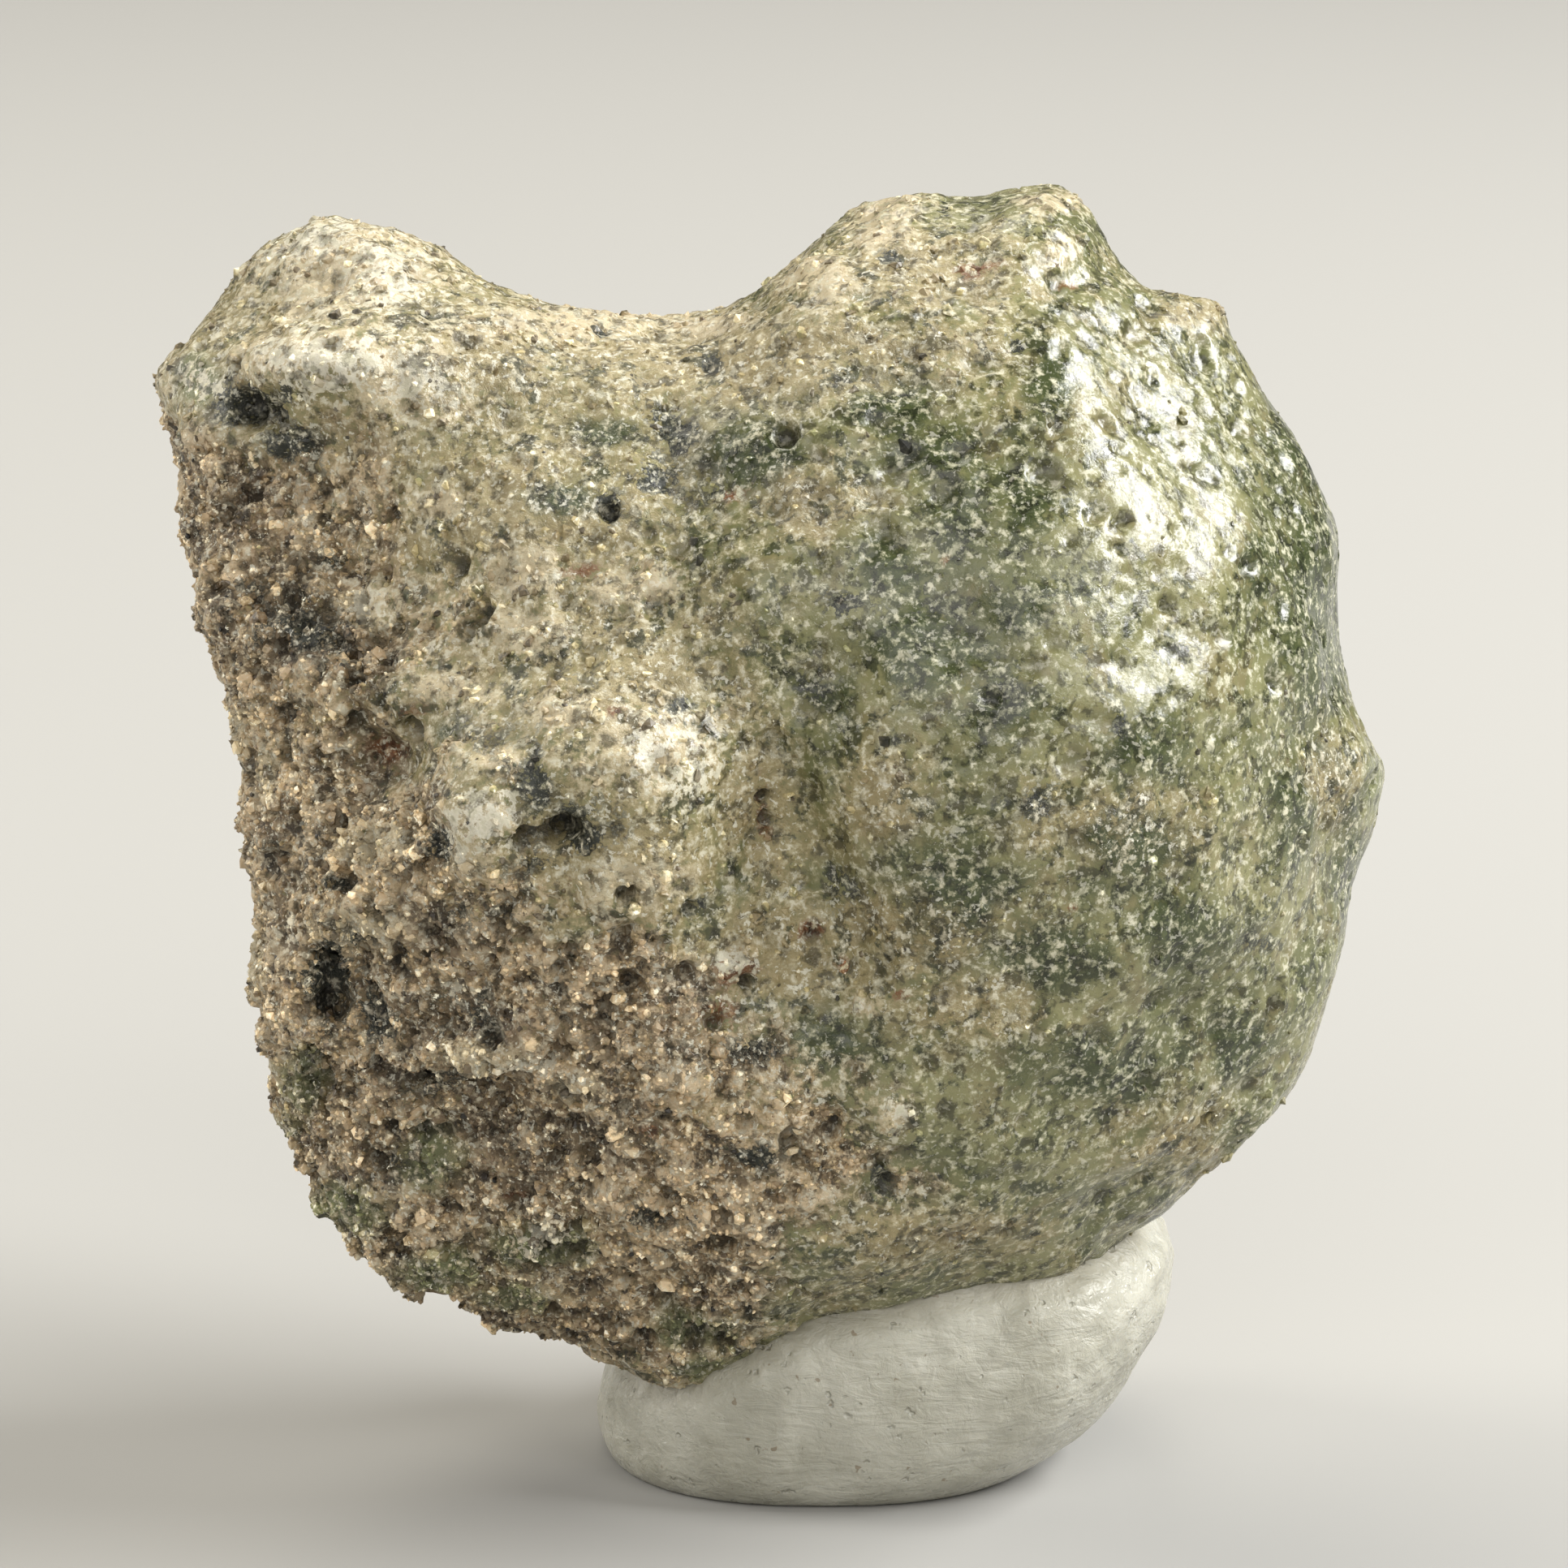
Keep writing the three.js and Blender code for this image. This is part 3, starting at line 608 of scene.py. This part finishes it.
# %% Thin the back and shrink the stone to its real size
STONE_SHARE = 0.72  # share of the triangles that stays
only(stone)
behind = stone.vertex_groups.new(name="behind")
for row in np.flatnonzero(towards < -0.3):
    behind.add([int(row)], 1.0, "REPLACE")
thin = stone.modifiers.new("thin_the_back", "DECIMATE")
thin.ratio = STONE_SHARE
thin.vertex_group = "behind"
bpy.ops.object.modifier_apply(modifier="thin_the_back")
stone.vertex_groups.clear()
stone.data.transform(Matrix.Scale(MM, 4))
bpy.ops.object.shade_smooth()
print("thinned to", sum(len(face.vertices) - 2 for face in stone.data.polygons), "triangles")

# %% [markdown]
# ## Grain forms
#
# On the sandy parts whole grains stick out of the melt. A grain starts as a twenty-sided ball that is knocked
# out of shape, so it is angular like crushed quartz. Four such forms are enough, because each copy gets a
# size, a stretch and a turn of its own.

# %% Four grain forms
def grain_form(name, seed):
    bpy.ops.object.select_all(action="DESELECT")
    bpy.ops.mesh.primitive_ico_sphere_add(subdivisions=1, radius=1)
    form = bpy.context.object
    form.name = name
    bpy.ops.object.mode_set(mode="EDIT")
    bpy.ops.mesh.select_all(action="SELECT")
    bpy.ops.transform.vertex_random(offset=0.32, uniform=0.4, normal=0, seed=seed)
    bpy.ops.object.mode_set(mode="OBJECT")
    corners = points_of(form)
    faces = [tuple(face.vertices) for face in form.data.polygons]
    bpy.data.objects.remove(form)
    return corners, faces


forms = [grain_form("grain_form", seed) for seed in (3, 5, 8, 13)]
print("a grain has", len(forms[0][1]), "faces")

# %% [markdown]
# ## Crusts of grains
#
# The forms are copied thousands of times and sunk into the skin, most by more than half, where the sand did
# not melt through. They are joined into three meshes, since single copies would be far too many objects:
# coarse grains in front, a finer grit between them that lies in patches, and coarse grains on the back.

# %% Copy the grains over the sand
def turns(draw, count):
    """Random turns, one matrix each."""
    q = draw.normal(size=(count, 4))
    q /= np.linalg.norm(q, axis=1)[:, None]
    w, x, y, z = q.T
    return np.array([
        [1 - 2 * (y * y + z * z), 2 * (x * y - w * z), 2 * (x * z + w * y)],
        [2 * (x * y + w * z), 1 - 2 * (x * x + z * z), 2 * (y * z - w * x)],
        [2 * (x * z - w * y), 2 * (y * z + w * x), 1 - 2 * (x * x + y * y)],
    ]).transpose(2, 0, 1)


def grain_crust(name, count, chance, low, high, sunk, seed):
    """One mesh of many grains, low to high mm in radius, on the stone where chance is high.

    Each middle stands off the skin by a share of the grain's radius that is drawn from sunk.
    """
    draw = np.random.default_rng(seed)
    hosts = draw.choice(len(skin), size=count, replace=False, p=chance / chance.sum())
    radius = low + (high - low) * draw.random(count) ** 3
    stretch = draw.uniform(0.6, 1.3, (count, 3)) * radius[:, None]
    turn = turns(draw, count)
    place = skin[hosts] + normals[hosts] * (radius * draw.uniform(*sunk, count))[:, None]
    tone = draw.random(count)
    corners, faces, owner = [], [], []
    for i in range(count):
        form, form_faces = forms[i % len(forms)]
        start = len(form) * i
        corners.append(form * stretch[i] @ turn[i].T + place[i])
        faces += [tuple(start + k for k in face) for face in form_faces]
        owner.append(np.full(len(form), i))
    mesh = bpy.data.meshes.new(name)
    mesh.from_pydata(np.concatenate(corners) * MM, [], faces)
    crust = bpy.data.objects.new(name, mesh)
    bpy.context.scene.collection.objects.link(crust)
    owner = np.concatenate(owner)
    keep(crust, "tone", tone[owner])
    for mask_name, mask in melt_masks.items():
        keep(crust, mask_name, mask[hosts][owner])
    print(name, "has", count, "grains and", len(mesh.polygons), "triangles")
    return crust


facing = np.clip(normals @ TOWARDS, 0, 1)
in_sand = front * (np.clip(sand - 0.1, 0, 1) ** 2 + 0.5 * cream_and_light + 0.25 * tan + 0.01) * (0.15 + facing)
front_grains = grain_crust(
    "sand_grains_front", count=9000, chance=in_sand, low=0.03, high=0.1, sunk=(-0.9, -0.25), seed=131)
patchy = 0.2 + smooth_step(drift(skin, 0.55, 134) + 0.5 * drift(skin, 0.25, 135), -0.25, 0.35)
in_patches = front * patchy * (sand ** 3 + 0.002) * (0.2 + facing)
small_grains = grain_crust(
    "sand_grains_small", count=9500, chance=in_patches, low=0.022, high=0.05, sunk=(-0.6, 0.0), seed=133)
back_grains = grain_crust(
    "sand_grains_back", count=9000, chance=(1 - front) * (sand + 0.02), low=0.045, high=0.15,
    sunk=(-0.9, -0.25), seed=132)

# %% [markdown]
# ## Putty
#
# Mineral putty is pressed on with a fingertip: it is smooth and slightly shiny, with fine drag marks where
# the skin pulled it, and it closes up against the stone. The copy of the measured solid stops short of the
# stone, so its socket is moved out until it meets the glass, and the edge is squeezed up into a low lip.

# %% Putty's skin, pressed against the stone
CLINGS, LEAVES, LIP_ENDS = 0.14, 0.3, 0.8  # gaps to the stone in mm: the putty clings, lets go, and its lip ends
PRESSED_IN = 0.08  # mm that it is pressed past the glass, so that no gap is left
putty = skin_of("mounting_putty", "putty_dab", voxel=0.06, smoothing=8)
dab = points_of(putty)
dab_normals = normals_of(putty)
shell = points_of(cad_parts["trinitite"]) / MM
corners = [tuple(face.vertices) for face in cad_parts["trinitite"].data.polygons]
stone_wall = BVHTree.FromPolygons([Vector(p) for p in shell], corners)
gap = np.full(len(dab), 9.0)
to_stone = np.zeros((len(dab), 3))
for i, place in enumerate(dab):
    hit, _, _, distance = stone_wall.find_nearest(Vector(place), 1.2)
    if hit is not None:
        gap[i] = distance
        to_stone[i] = np.array(hit) - place
press = 1 + PRESSED_IN / np.maximum(gap, 0.02)
reach = np.where(gap[:, None] < LEAVES, to_stone * press[:, None], 0)
close = smooth_step(gap, LEAVES, CLINGS)
outside = smooth_step(gap, CLINGS, LEAVES) * smooth_step(gap, LIP_ENDS, LEAVES)
print("putty points that meet the stone:", int((close > 0.5).sum()))

# %% [markdown]
# ## Finger marks in the putty
#
# A fingertip leaves shallow dents, and it drags the skin into streaks that follow the pull: to the right on
# the right side, downwards on the left. The foot is left flat, as it was pressed on the surface under it.

# %% Drag marks, dents and the lip
DENTS = [  # middle in mm, radius and depth
    ((1.6, -2.6, 1.9), 1.1, 0.12), ((3.9, -0.9, 2.0), 1.0, 0.1), ((-1.9, -1.6, 1.2), 0.8, 0.1),
    ((0.2, -2.7, 0.8), 0.7, 0.06), ((2.0, 2.6, 1.6), 1.2, 0.14), ((-1.4, 1.9, 1.2), 0.9, 0.1),
]
above_foot = smooth_step(dab[:, 2], 0.05, 0.5)
pull_right = dab @ np.array([[0.75, 0.1, -0.65], [0.2, 0.9, 0.3], [0.65, -0.3, 0.7]])
streaks = drift(pull_right * (0.45, 1, 2.6), 0.5, 141) * smooth_step(dab[:, 0], 0.4, 2.0)
streaks += drift(dab * (2.4, 2.4, 0.5), 0.5, 142) * smooth_step(dab[:, 0], 0.6, -1.2)
rise = 0.05 * streaks + 0.05 * drift(dab, 0.9, 143) + 0.012 * drift(dab, 0.2, 144) + 0.07 * outside
for middle, radius, depth in DENTS:
    rise -= depth * np.exp(-(np.linalg.norm(dab - np.array(middle), axis=1) / radius) ** 2)
dab = dab + dab_normals * (rise * above_foot * (1 - close))[:, None] + reach * close[:, None]
dab[:, 2] = np.maximum(dab[:, 2], 0)
set_points(putty, dab)
keep(putty, "near_stone", smooth_step(gap, 0.35, 0.1))
putty.data.transform(Matrix.Scale(MM, 4))
only(putty)
bpy.ops.object.shade_smooth()

# %% [markdown]
# ## Helpers for the materials
#
# The materials are built from few kinds of nodes. A short helper for each kind keeps the recipes readable:
# first the ones that make numbers, which are noises, smooth ramps and sums.

# %% Helpers that make numbers
def node(tree, kind, **settings):
    made = tree.nodes.new(kind)
    for key, value in settings.items():
        setattr(made, key, value)
    return made


def noise(tree, place, per_mm, detail=3.0, roughness=0.55, distortion=0.0):
    made = node(tree, "ShaderNodeTexNoise")
    made.inputs["Scale"].default_value = per_mm
    made.inputs["Detail"].default_value = detail
    made.inputs["Roughness"].default_value = roughness
    made.inputs["Distortion"].default_value = distortion
    tree.links.new(place, made.inputs["Vector"])
    return made.outputs["Fac"]


def between(tree, value, low, high, to_low=0.0, to_high=1.0):
    """A smooth ramp: to_low below low, to_high above high."""
    made = node(tree, "ShaderNodeMapRange", interpolation_type="SMOOTHSTEP")
    tree.links.new(value, made.inputs["Value"])
    for key, number in (("From Min", low), ("From Max", high), ("To Min", to_low), ("To Max", to_high)):
        made.inputs[key].default_value = number
    return made.outputs["Result"]


def math_of(tree, operation, a, b):
    made = node(tree, "ShaderNodeMath", operation=operation)
    for socket, value in zip(made.inputs, (a, b)):
        if isinstance(value, (int, float)):
            socket.default_value = value
        else:
            tree.links.new(value, socket)
    return made.outputs["Value"]


def times(tree, a, b):
    return math_of(tree, "MULTIPLY", a, b)


# %% [markdown]
# ## Helpers for colours and places
#
# Then the ones that blend two colours, read a mask that was kept on the mesh, and measure the object's own
# coordinates in mm, so that a speck has the same size on the stone, on its grains and on the putty.

# %% Helpers that blend, read masks and measure
def mixed(tree, share, a, b, blend="MIX"):
    """Colour a turning into colour b by share."""
    made = node(tree, "ShaderNodeMix", data_type="RGBA", blend_type=blend)
    for socket, value in ((made.inputs["Factor"], share), (made.inputs["A"], a), (made.inputs["B"], b)):
        if isinstance(value, (int, float)):
            socket.default_value = value
        elif isinstance(value, tuple):
            socket.default_value = (*value, 1.0)
        else:
            tree.links.new(value, socket)
    return made.outputs["Result"]


def mask_on(tree, name):
    return node(tree, "ShaderNodeAttribute", attribute_name=name).outputs["Fac"]


def in_mm(tree):
    """The object's own coordinates, in mm."""
    place = node(tree, "ShaderNodeTexCoord")
    scale = node(tree, "ShaderNodeMapping")
    scale.inputs["Scale"].default_value = (1 / MM,) * 3
    tree.links.new(place.outputs["Object"], scale.inputs["Vector"])
    return scale.outputs["Vector"]


def new_material(name):
    material = bpy.data.materials.new(name)
    material.use_nodes = True
    tree = material.node_tree
    return material, tree, tree.nodes["Principled BSDF"]


# %% [markdown]
# ## Mottle
#
# The fine mottle of the melt is far smaller than the mesh: specks of 0.05 to 0.1 mm, and pools and stains of
# up to a millimetre. The finest white specks are painted glints. It is the same on the stone and on its grains,
# so it is one node group: noises of six sizes, each cut to a mask of its own.

# %% The mottle group
mottle = bpy.data.node_groups.new("melted_sand_mottle", "ShaderNodeTree")
mottle.interface.new_socket("Place", in_out="INPUT", socket_type="NodeSocketVector")
for name in ("Pale flecks", "Painted glints", "Dark flecks", "Pools", "Stain", "Cloud", "Fine"):
    mottle.interface.new_socket(name, in_out="OUTPUT", socket_type="NodeSocketFloat")
enter = node(mottle, "NodeGroupInput")
leave = node(mottle, "NodeGroupOutput")
place = enter.outputs["Place"]
fine = noise(mottle, place, 8.8, 4.0, 0.64, 0.15)
# Tiny white specks, painted glints
painted_glints = noise(mottle, place, 13.0, 3.0, 0.6, 0.3)
other = noise(mottle, place, 4.6, 4.0, 0.64, 0.3)
pools = noise(mottle, place, 2.4, 5.0, 0.68, 0.3)
stain = noise(mottle, place, 1.3, 5.0, 0.68, 0.5)
cloud = noise(mottle, place, 0.7, 4.0, 0.6, 0.3)
for source, low, high, name in (
    (fine, 0.5, 0.59, "Pale flecks"), (painted_glints, 0.58, 0.64, "Painted glints"), (other, 0.5, 0.61, "Dark flecks"),
    (pools, 0.54, 0.61, "Pools"), (stain, 0.5, 0.62, "Stain"), (cloud, 0.4, 0.6, "Cloud"),
):
    mottle.links.new(between(mottle, source, low, high), leave.inputs[name])
mottle.links.new(fine, leave.inputs["Fine"])

# %% [markdown]
# ## Colour
#
# The colours of the melt, of the sand, of the blots and of the flecks, judged one by one: olive and grey-green
# glass, warm tan sand, nearly black char.

# %% Colours of the melt, the sand and the blots
MELT_DARK = (0.122, 0.128, 0.052)
MELT_PALE = (0.22, 0.213, 0.102)
MELT_STAINED = (0.21, 0.17, 0.085)
MELT_TAN = (0.31, 0.255, 0.13)
# Deep green melt, also used as painted shade on the dome's right edge
MELT_GREEN_AND_SHADE = (0.046, 0.058, 0.02)
MELT_POOL = (0.027, 0.034, 0.013)
SAND_DARK = (0.32, 0.233, 0.125)
SAND_PALE = (0.49, 0.37, 0.21)
# Painted highlight on the high places of the sand
SAND_PAINTED_HIGHLIGHT = (0.66, 0.52, 0.34)
# Brown sand, partly painted shade
SAND_BROWNED_AND_SHADED = (0.108, 0.07, 0.04)
SAND_STAINED = (0.46, 0.38, 0.26)
# Painted shade in the low places of the sand
SAND_PAINTED_SHADE = (0.075, 0.052, 0.033)
SAND_POOL = (0.035, 0.025, 0.017)
# Cream crust, also used as painted rim light and painted glare
CREAM_CRUST_AND_LIGHT = (0.51, 0.43, 0.28)
# Thin clear green, partly painted glow through the edges
THIN_GREEN_AND_GLOW = (0.16, 0.17, 0.08)
RUSTED = (0.17, 0.07, 0.025)
# Char, also laid as painted shade where the smoke ovals are
CHARRED_AND_SHADE = (0.024, 0.027, 0.019)
# White quartz, also used as painted glare on the left lobe
QUARTZ_WHITE_AND_GLARE = (0.66, 0.62, 0.5)
DARK_FLECK = (0.22, 0.22, 0.2)
FLECK_ON_MELT = (0.37, 0.375, 0.235)
FLECK_ON_SAND = (0.65, 0.57, 0.41)
# Painted glints
PAINTED_GLINT = (0.7, 0.68, 0.57)
# Painted shade inside the open pits
PAINTED_PIT_SHADE = (0.016, 0.014, 0.009)
print("palest", QUARTZ_WHITE_AND_GLARE, "darkest", PAINTED_PIT_SHADE)

# %% [markdown]
# ## Start of the colour recipe
#
# The skin and its grains share one recipe, a node group that takes a place and all the masks. The mottle
# tears the soft edge of each mask once more, at the size of single specks.

# %% One colour recipe for the skin and for its grains
MASKS = tuple(melt_masks)


def torn(tree, mask, fine_value, tear, low, high):
    """A mask whose soft edge is torn by the fine mottle."""
    moved = times(tree, math_of(tree, "SUBTRACT", fine_value, 0.5), tear)
    return between(tree, math_of(tree, "ADD", mask, moved), low, high)


recipe = bpy.data.node_groups.new("trinitite_colour", "ShaderNodeTree")
recipe.interface.new_socket("Place", in_out="INPUT", socket_type="NodeSocketVector")
for name in MASKS:
    recipe.interface.new_socket(name, in_out="INPUT", socket_type="NodeSocketFloat")
recipe.interface.new_socket("Color", in_out="OUTPUT", socket_type="NodeSocketColor")
recipe.interface.new_socket("Fine", in_out="OUTPUT", socket_type="NodeSocketFloat")
enter = node(recipe, "NodeGroupInput")
leave = node(recipe, "NodeGroupOutput")
group = node(recipe, "ShaderNodeGroup", node_tree=mottle)
recipe.links.new(enter.outputs["Place"], group.inputs["Place"])
out = group.outputs
fine = out["Fine"]
masks = {name: enter.outputs[name] for name in MASKS}

# %% [markdown]
# ## Layers of the melt and the sand
#
# The colours are laid over each other as they formed: green melt, tan where it is thin over sand, dark pools,
# and then the sand itself, with a painted highlight where it stands high and painted shade where it lies low.
# Part of the deep green and part of the brown are painted shade as well.

# %% Lay the melt, then the sand
base = mixed(recipe, out["Cloud"], MELT_DARK, MELT_PALE)
base = mixed(recipe, times(recipe, out["Stain"], 0.5), base, MELT_STAINED)
base = mixed(recipe, torn(recipe, masks["tan"], fine, 2.4, 0.0, 0.9), base, MELT_TAN)
# Deep green melt, partly painted shade
base = mixed(recipe, torn(recipe, masks["deep_green_and_shade"], fine, 2.0, 0.1, 0.9), base, MELT_GREEN_AND_SHADE)
base = mixed(recipe, times(recipe, out["Pools"], 0.82), base, MELT_POOL)
sandy = mixed(recipe, out["Cloud"], SAND_DARK, SAND_PALE)
# Painted highlight where the sand stands high
painted_highlight_up_high = torn(recipe, masks["raised"], fine, 1.6, 0.32, 0.68)
sandy = mixed(recipe, times(recipe, painted_highlight_up_high, 0.75), sandy, SAND_PAINTED_HIGHLIGHT)
# Brown sand, partly painted shade, kept off the high places
browned_and_shaded = times(recipe, torn(recipe, masks["brown_and_shade"], fine, 2.4, 0.2, 1.3),
                  between(recipe, masks["raised"], 0.3, 0.8, 1.0, 0.4))
sandy = mixed(recipe, browned_and_shaded, sandy, SAND_BROWNED_AND_SHADED)
sandy = mixed(recipe, times(recipe, out["Stain"], 0.5), sandy, SAND_STAINED)
# Painted shade where the sand lies low
painted_shade_down_low = torn(recipe, masks["raised"], fine, 1.6, 0.5, 0.12)
sandy = mixed(recipe, times(recipe, painted_shade_down_low, 0.65), sandy, SAND_PAINTED_SHADE)
sandy = mixed(recipe, times(recipe, out["Pools"], 0.75), sandy, SAND_POOL)
base = mixed(recipe, torn(recipe, masks["sand"], fine, 2.6, 0.1, 0.9), base, sandy)

# %% [markdown]
# ## Layers of the blots and the flecks
#
# The blots lie over melt and sand alike. Dark and pale flecks go over all of it, paler on sand than on glass,
# then tiny white specks as painted glints, and open pits get painted shade inside.

# %% Lay the blots, then the flecks
for name, tear, low, high, tint in (
    # Cream crust with painted rim light and glare; clear green, partly a painted glow through the thin edges
    ("cream_and_light", 2.4, 0.2, 0.9, CREAM_CRUST_AND_LIGHT), ("clear_green_and_glow", 1.0, 0.3, 0.9, THIN_GREEN_AND_GLOW),
    # Char, also carrying painted shade from the smoke ovals
    ("rust", 2.6, 0.4, 0.9, RUSTED), ("charcoal_and_shade", 2.8, 0.36, 0.62, CHARRED_AND_SHADE),
    # White quartz, partly painted glare
    ("quartz_and_glare", 5.0, 0.45, 0.8, QUARTZ_WHITE_AND_GLARE),
):
    base = mixed(recipe, torn(recipe, masks[name], fine, tear, low, high), base, tint)
base = mixed(recipe, times(recipe, out["Dark flecks"], 0.8), base, DARK_FLECK, "MULTIPLY")
grainy = math_of(recipe, "MAXIMUM", masks["sand"], times(recipe, masks["tan"], 0.6))
pale = mixed(recipe, grainy, FLECK_ON_MELT, FLECK_ON_SAND)
pale = mixed(recipe, 0.52, base, pale)
light = times(recipe, out["Pale flecks"], between(recipe, masks["charcoal_and_shade"], 0.2, 0.7, 0.9, 0.6))
base = mixed(recipe, light, base, pale)
# Painted glints, stronger on sand than on glass
painted_glints = times(recipe, out["Painted glints"], between(recipe, grainy, 0.1, 0.6, 0.35, 0.75))
base = mixed(recipe, painted_glints, base, PAINTED_GLINT)
# Painted shade inside the open pits
base = mixed(recipe, times(recipe, masks["hollow"], 0.6), base, PAINTED_PIT_SHADE)
recipe.links.new(base, leave.inputs["Color"])
recipe.links.new(fine, leave.inputs["Fine"])
print("the recipe has", len(recipe.nodes), "nodes")


def use_recipe(tree, place):
    """The colour and the fine mottle at this place, from the masks kept on the mesh."""
    group = node(tree, "ShaderNodeGroup", node_tree=recipe)
    tree.links.new(place, group.inputs["Place"])
    for name in MASKS:
        tree.links.new(mask_on(tree, name), group.inputs[name])
    return group.outputs["Color"], group.outputs["Fine"]


# %% [markdown]
# ## Glass
#
# Where the sand melted through, the stone is as glossy as bottle glass, with hardly any grit. Where it did
# not, it is dull and gritty. Both go by the same masks as the colour does, so gloss and colour change together.

# %% The stone's glass
glass, tree, shader = new_material("trinitite_glass")
place = in_mm(tree)
colour, fine = use_recipe(tree, place)
tree.links.new(colour, shader.inputs["Base Color"])
sandy = math_of(tree, "MAXIMUM", mask_on(tree, "sand"), times(tree, mask_on(tree, "tan"), 0.5))
gloss = between(tree, sandy, 0.15, 0.8, 0.2, 0.52)
gloss = math_of(tree, "ADD", gloss, between(tree, fine, 0.35, 0.7, -0.07, 0.12))
tree.links.new(gloss, shader.inputs["Roughness"])
shader.inputs["IOR"].default_value = 1.52

grit = noise(tree, place, 8.5, 5.0, 0.7, 0.4)
grit = times(tree, grit, between(tree, sandy, 0.1, 0.8, 0.12, 1.0))
bump = node(tree, "ShaderNodeBump")
bump.inputs["Strength"].default_value = 1.0
bump.inputs["Distance"].default_value = 0.00009
tree.links.new(grit, bump.inputs["Height"])
tree.links.new(bump.outputs["Normal"], shader.inputs["Normal"])
stone.data.materials.append(glass)

# %% [markdown]
# ## Grains
#
# A grain takes the colour of the melt that it sits in, and then a tone of its own: a few are nearly black,
# most are a little darker or lighter than the melt, and some are clean pale quartz, up to twice as bright as
# the melt, which is partly a painted sparkle.

# %% The grains
grain_quartz, tree, shader = new_material("sand_grain_quartz")
place = in_mm(tree)
colour, fine = use_recipe(tree, place)
# Grain tones; the stops above one are partly a painted sparkle
tones_and_sparkle = node(tree, "ShaderNodeValToRGB")
ramp = tones_and_sparkle.color_ramp
for position, tint in (
    (0.0, (0.12, 0.12, 0.12)), (0.04, (0.4, 0.35, 0.3)), (0.12, (0.78, 0.72, 0.65)), (0.5, (1.0, 0.97, 0.95)),
    (0.72, (1.3, 1.28, 1.22)), (0.88, (1.65, 1.64, 1.58)), (0.95, (2.0, 2.0, 2.0)),
):
    stop = ramp.elements.new(position)
    stop.color = (*tint, 1)
ramp.elements.remove(ramp.elements[-1])
tree.links.new(mask_on(tree, "tone"), tones_and_sparkle.inputs["Fac"])
colour = mixed(tree, 1.0, colour, tones_and_sparkle.outputs["Color"], "MULTIPLY")
tree.links.new(colour, shader.inputs["Base Color"])
tree.links.new(between(tree, fine, 0.3, 0.7, 0.32, 0.62), shader.inputs["Roughness"])
shader.inputs["IOR"].default_value = 1.54
bump = node(tree, "ShaderNodeBump")
bump.inputs["Strength"].default_value = 0.8
bump.inputs["Distance"].default_value = 0.00002
tree.links.new(noise(tree, place, 14.0, 3.0), bump.inputs["Height"])
tree.links.new(bump.outputs["Normal"], shader.inputs["Normal"])
for crust in (front_grains, small_grains, back_grains):
    crust.data.materials.append(grain_quartz)

# %% [markdown]
# ## Putty's finish
#
# The putty is cream, with a faint patchiness, specks of dust, and a darker line where it meets the stone. It
# is satin, shinier in patches, with fine drag marks and tiny pocks, and lets a little light in.

# %% The putty
cream_putty, tree, shader = new_material("cream_putty")
place = in_mm(tree)
patches = noise(tree, place, 0.9, 3.0)
colour = mixed(tree, between(tree, patches, 0.35, 0.65), (0.37, 0.36, 0.295), (0.48, 0.47, 0.4))
dust = between(tree, noise(tree, place, 6.5, 2.0), 0.7, 0.74)
colour = mixed(tree, times(tree, dust, 0.7), colour, (0.2, 0.15, 0.09))
colour = mixed(tree, times(tree, mask_on(tree, "near_stone"), 0.35), colour, (0.36, 0.3, 0.2))
tree.links.new(colour, shader.inputs["Base Color"])
tree.links.new(between(tree, noise(tree, place, 3.0, 3.0), 0.3, 0.7, 0.18, 0.42), shader.inputs["Roughness"])
shader.inputs["Subsurface Weight"].default_value = 0.25
shader.inputs["Subsurface Radius"].default_value = (1.0, 0.85, 0.6)
shader.inputs["Subsurface Scale"].default_value = 0.0003
drag = node(tree, "ShaderNodeMapping")
drag.inputs["Rotation"].default_value = (0.3, 0.5, 0.9)
drag.inputs["Scale"].default_value = (1.3, 4.0, 5.0)
tree.links.new(place, drag.inputs["Vector"])
bump = node(tree, "ShaderNodeBump")
bump.inputs["Strength"].default_value = 1.0
bump.inputs["Distance"].default_value = 0.00006
pressed = times(tree, noise(tree, drag.outputs["Vector"], 1.0, 4.0, 0.6, 1.4), 0.6)
pressed = math_of(tree, "ADD", pressed, times(tree, noise(tree, place, 4.5, 5.0, 0.62, 0.5), 0.7))
pocks = between(tree, noise(tree, place, 5.5, 2.0), 0.66, 0.76, 0.0, -0.5)
tree.links.new(math_of(tree, "ADD", pressed, pocks), bump.inputs["Height"])
tree.links.new(bump.outputs["Normal"], shader.inputs["Normal"])
putty.data.materials.append(cream_putty)

# %% [markdown]
# ## Hand over
#
# Each dressed piece rides with the part and stands for the solid it was copied from. The box of the dressed
# part is written beside that of the solids, so that the two can be compared.

# %% Ride, replace and finish
for piece in (stone, front_grains, small_grains, back_grains, putty):
    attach(piece, "root")
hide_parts("trinitite")
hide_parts("mounting_putty")
low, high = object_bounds()
print("visual box past the solids' in mm: low", [round(1000 * (a - b), 3) for a, b in zip(cad_low, low)],
      "high", [round(1000 * (b - a), 3) for a, b in zip(cad_high, high)])
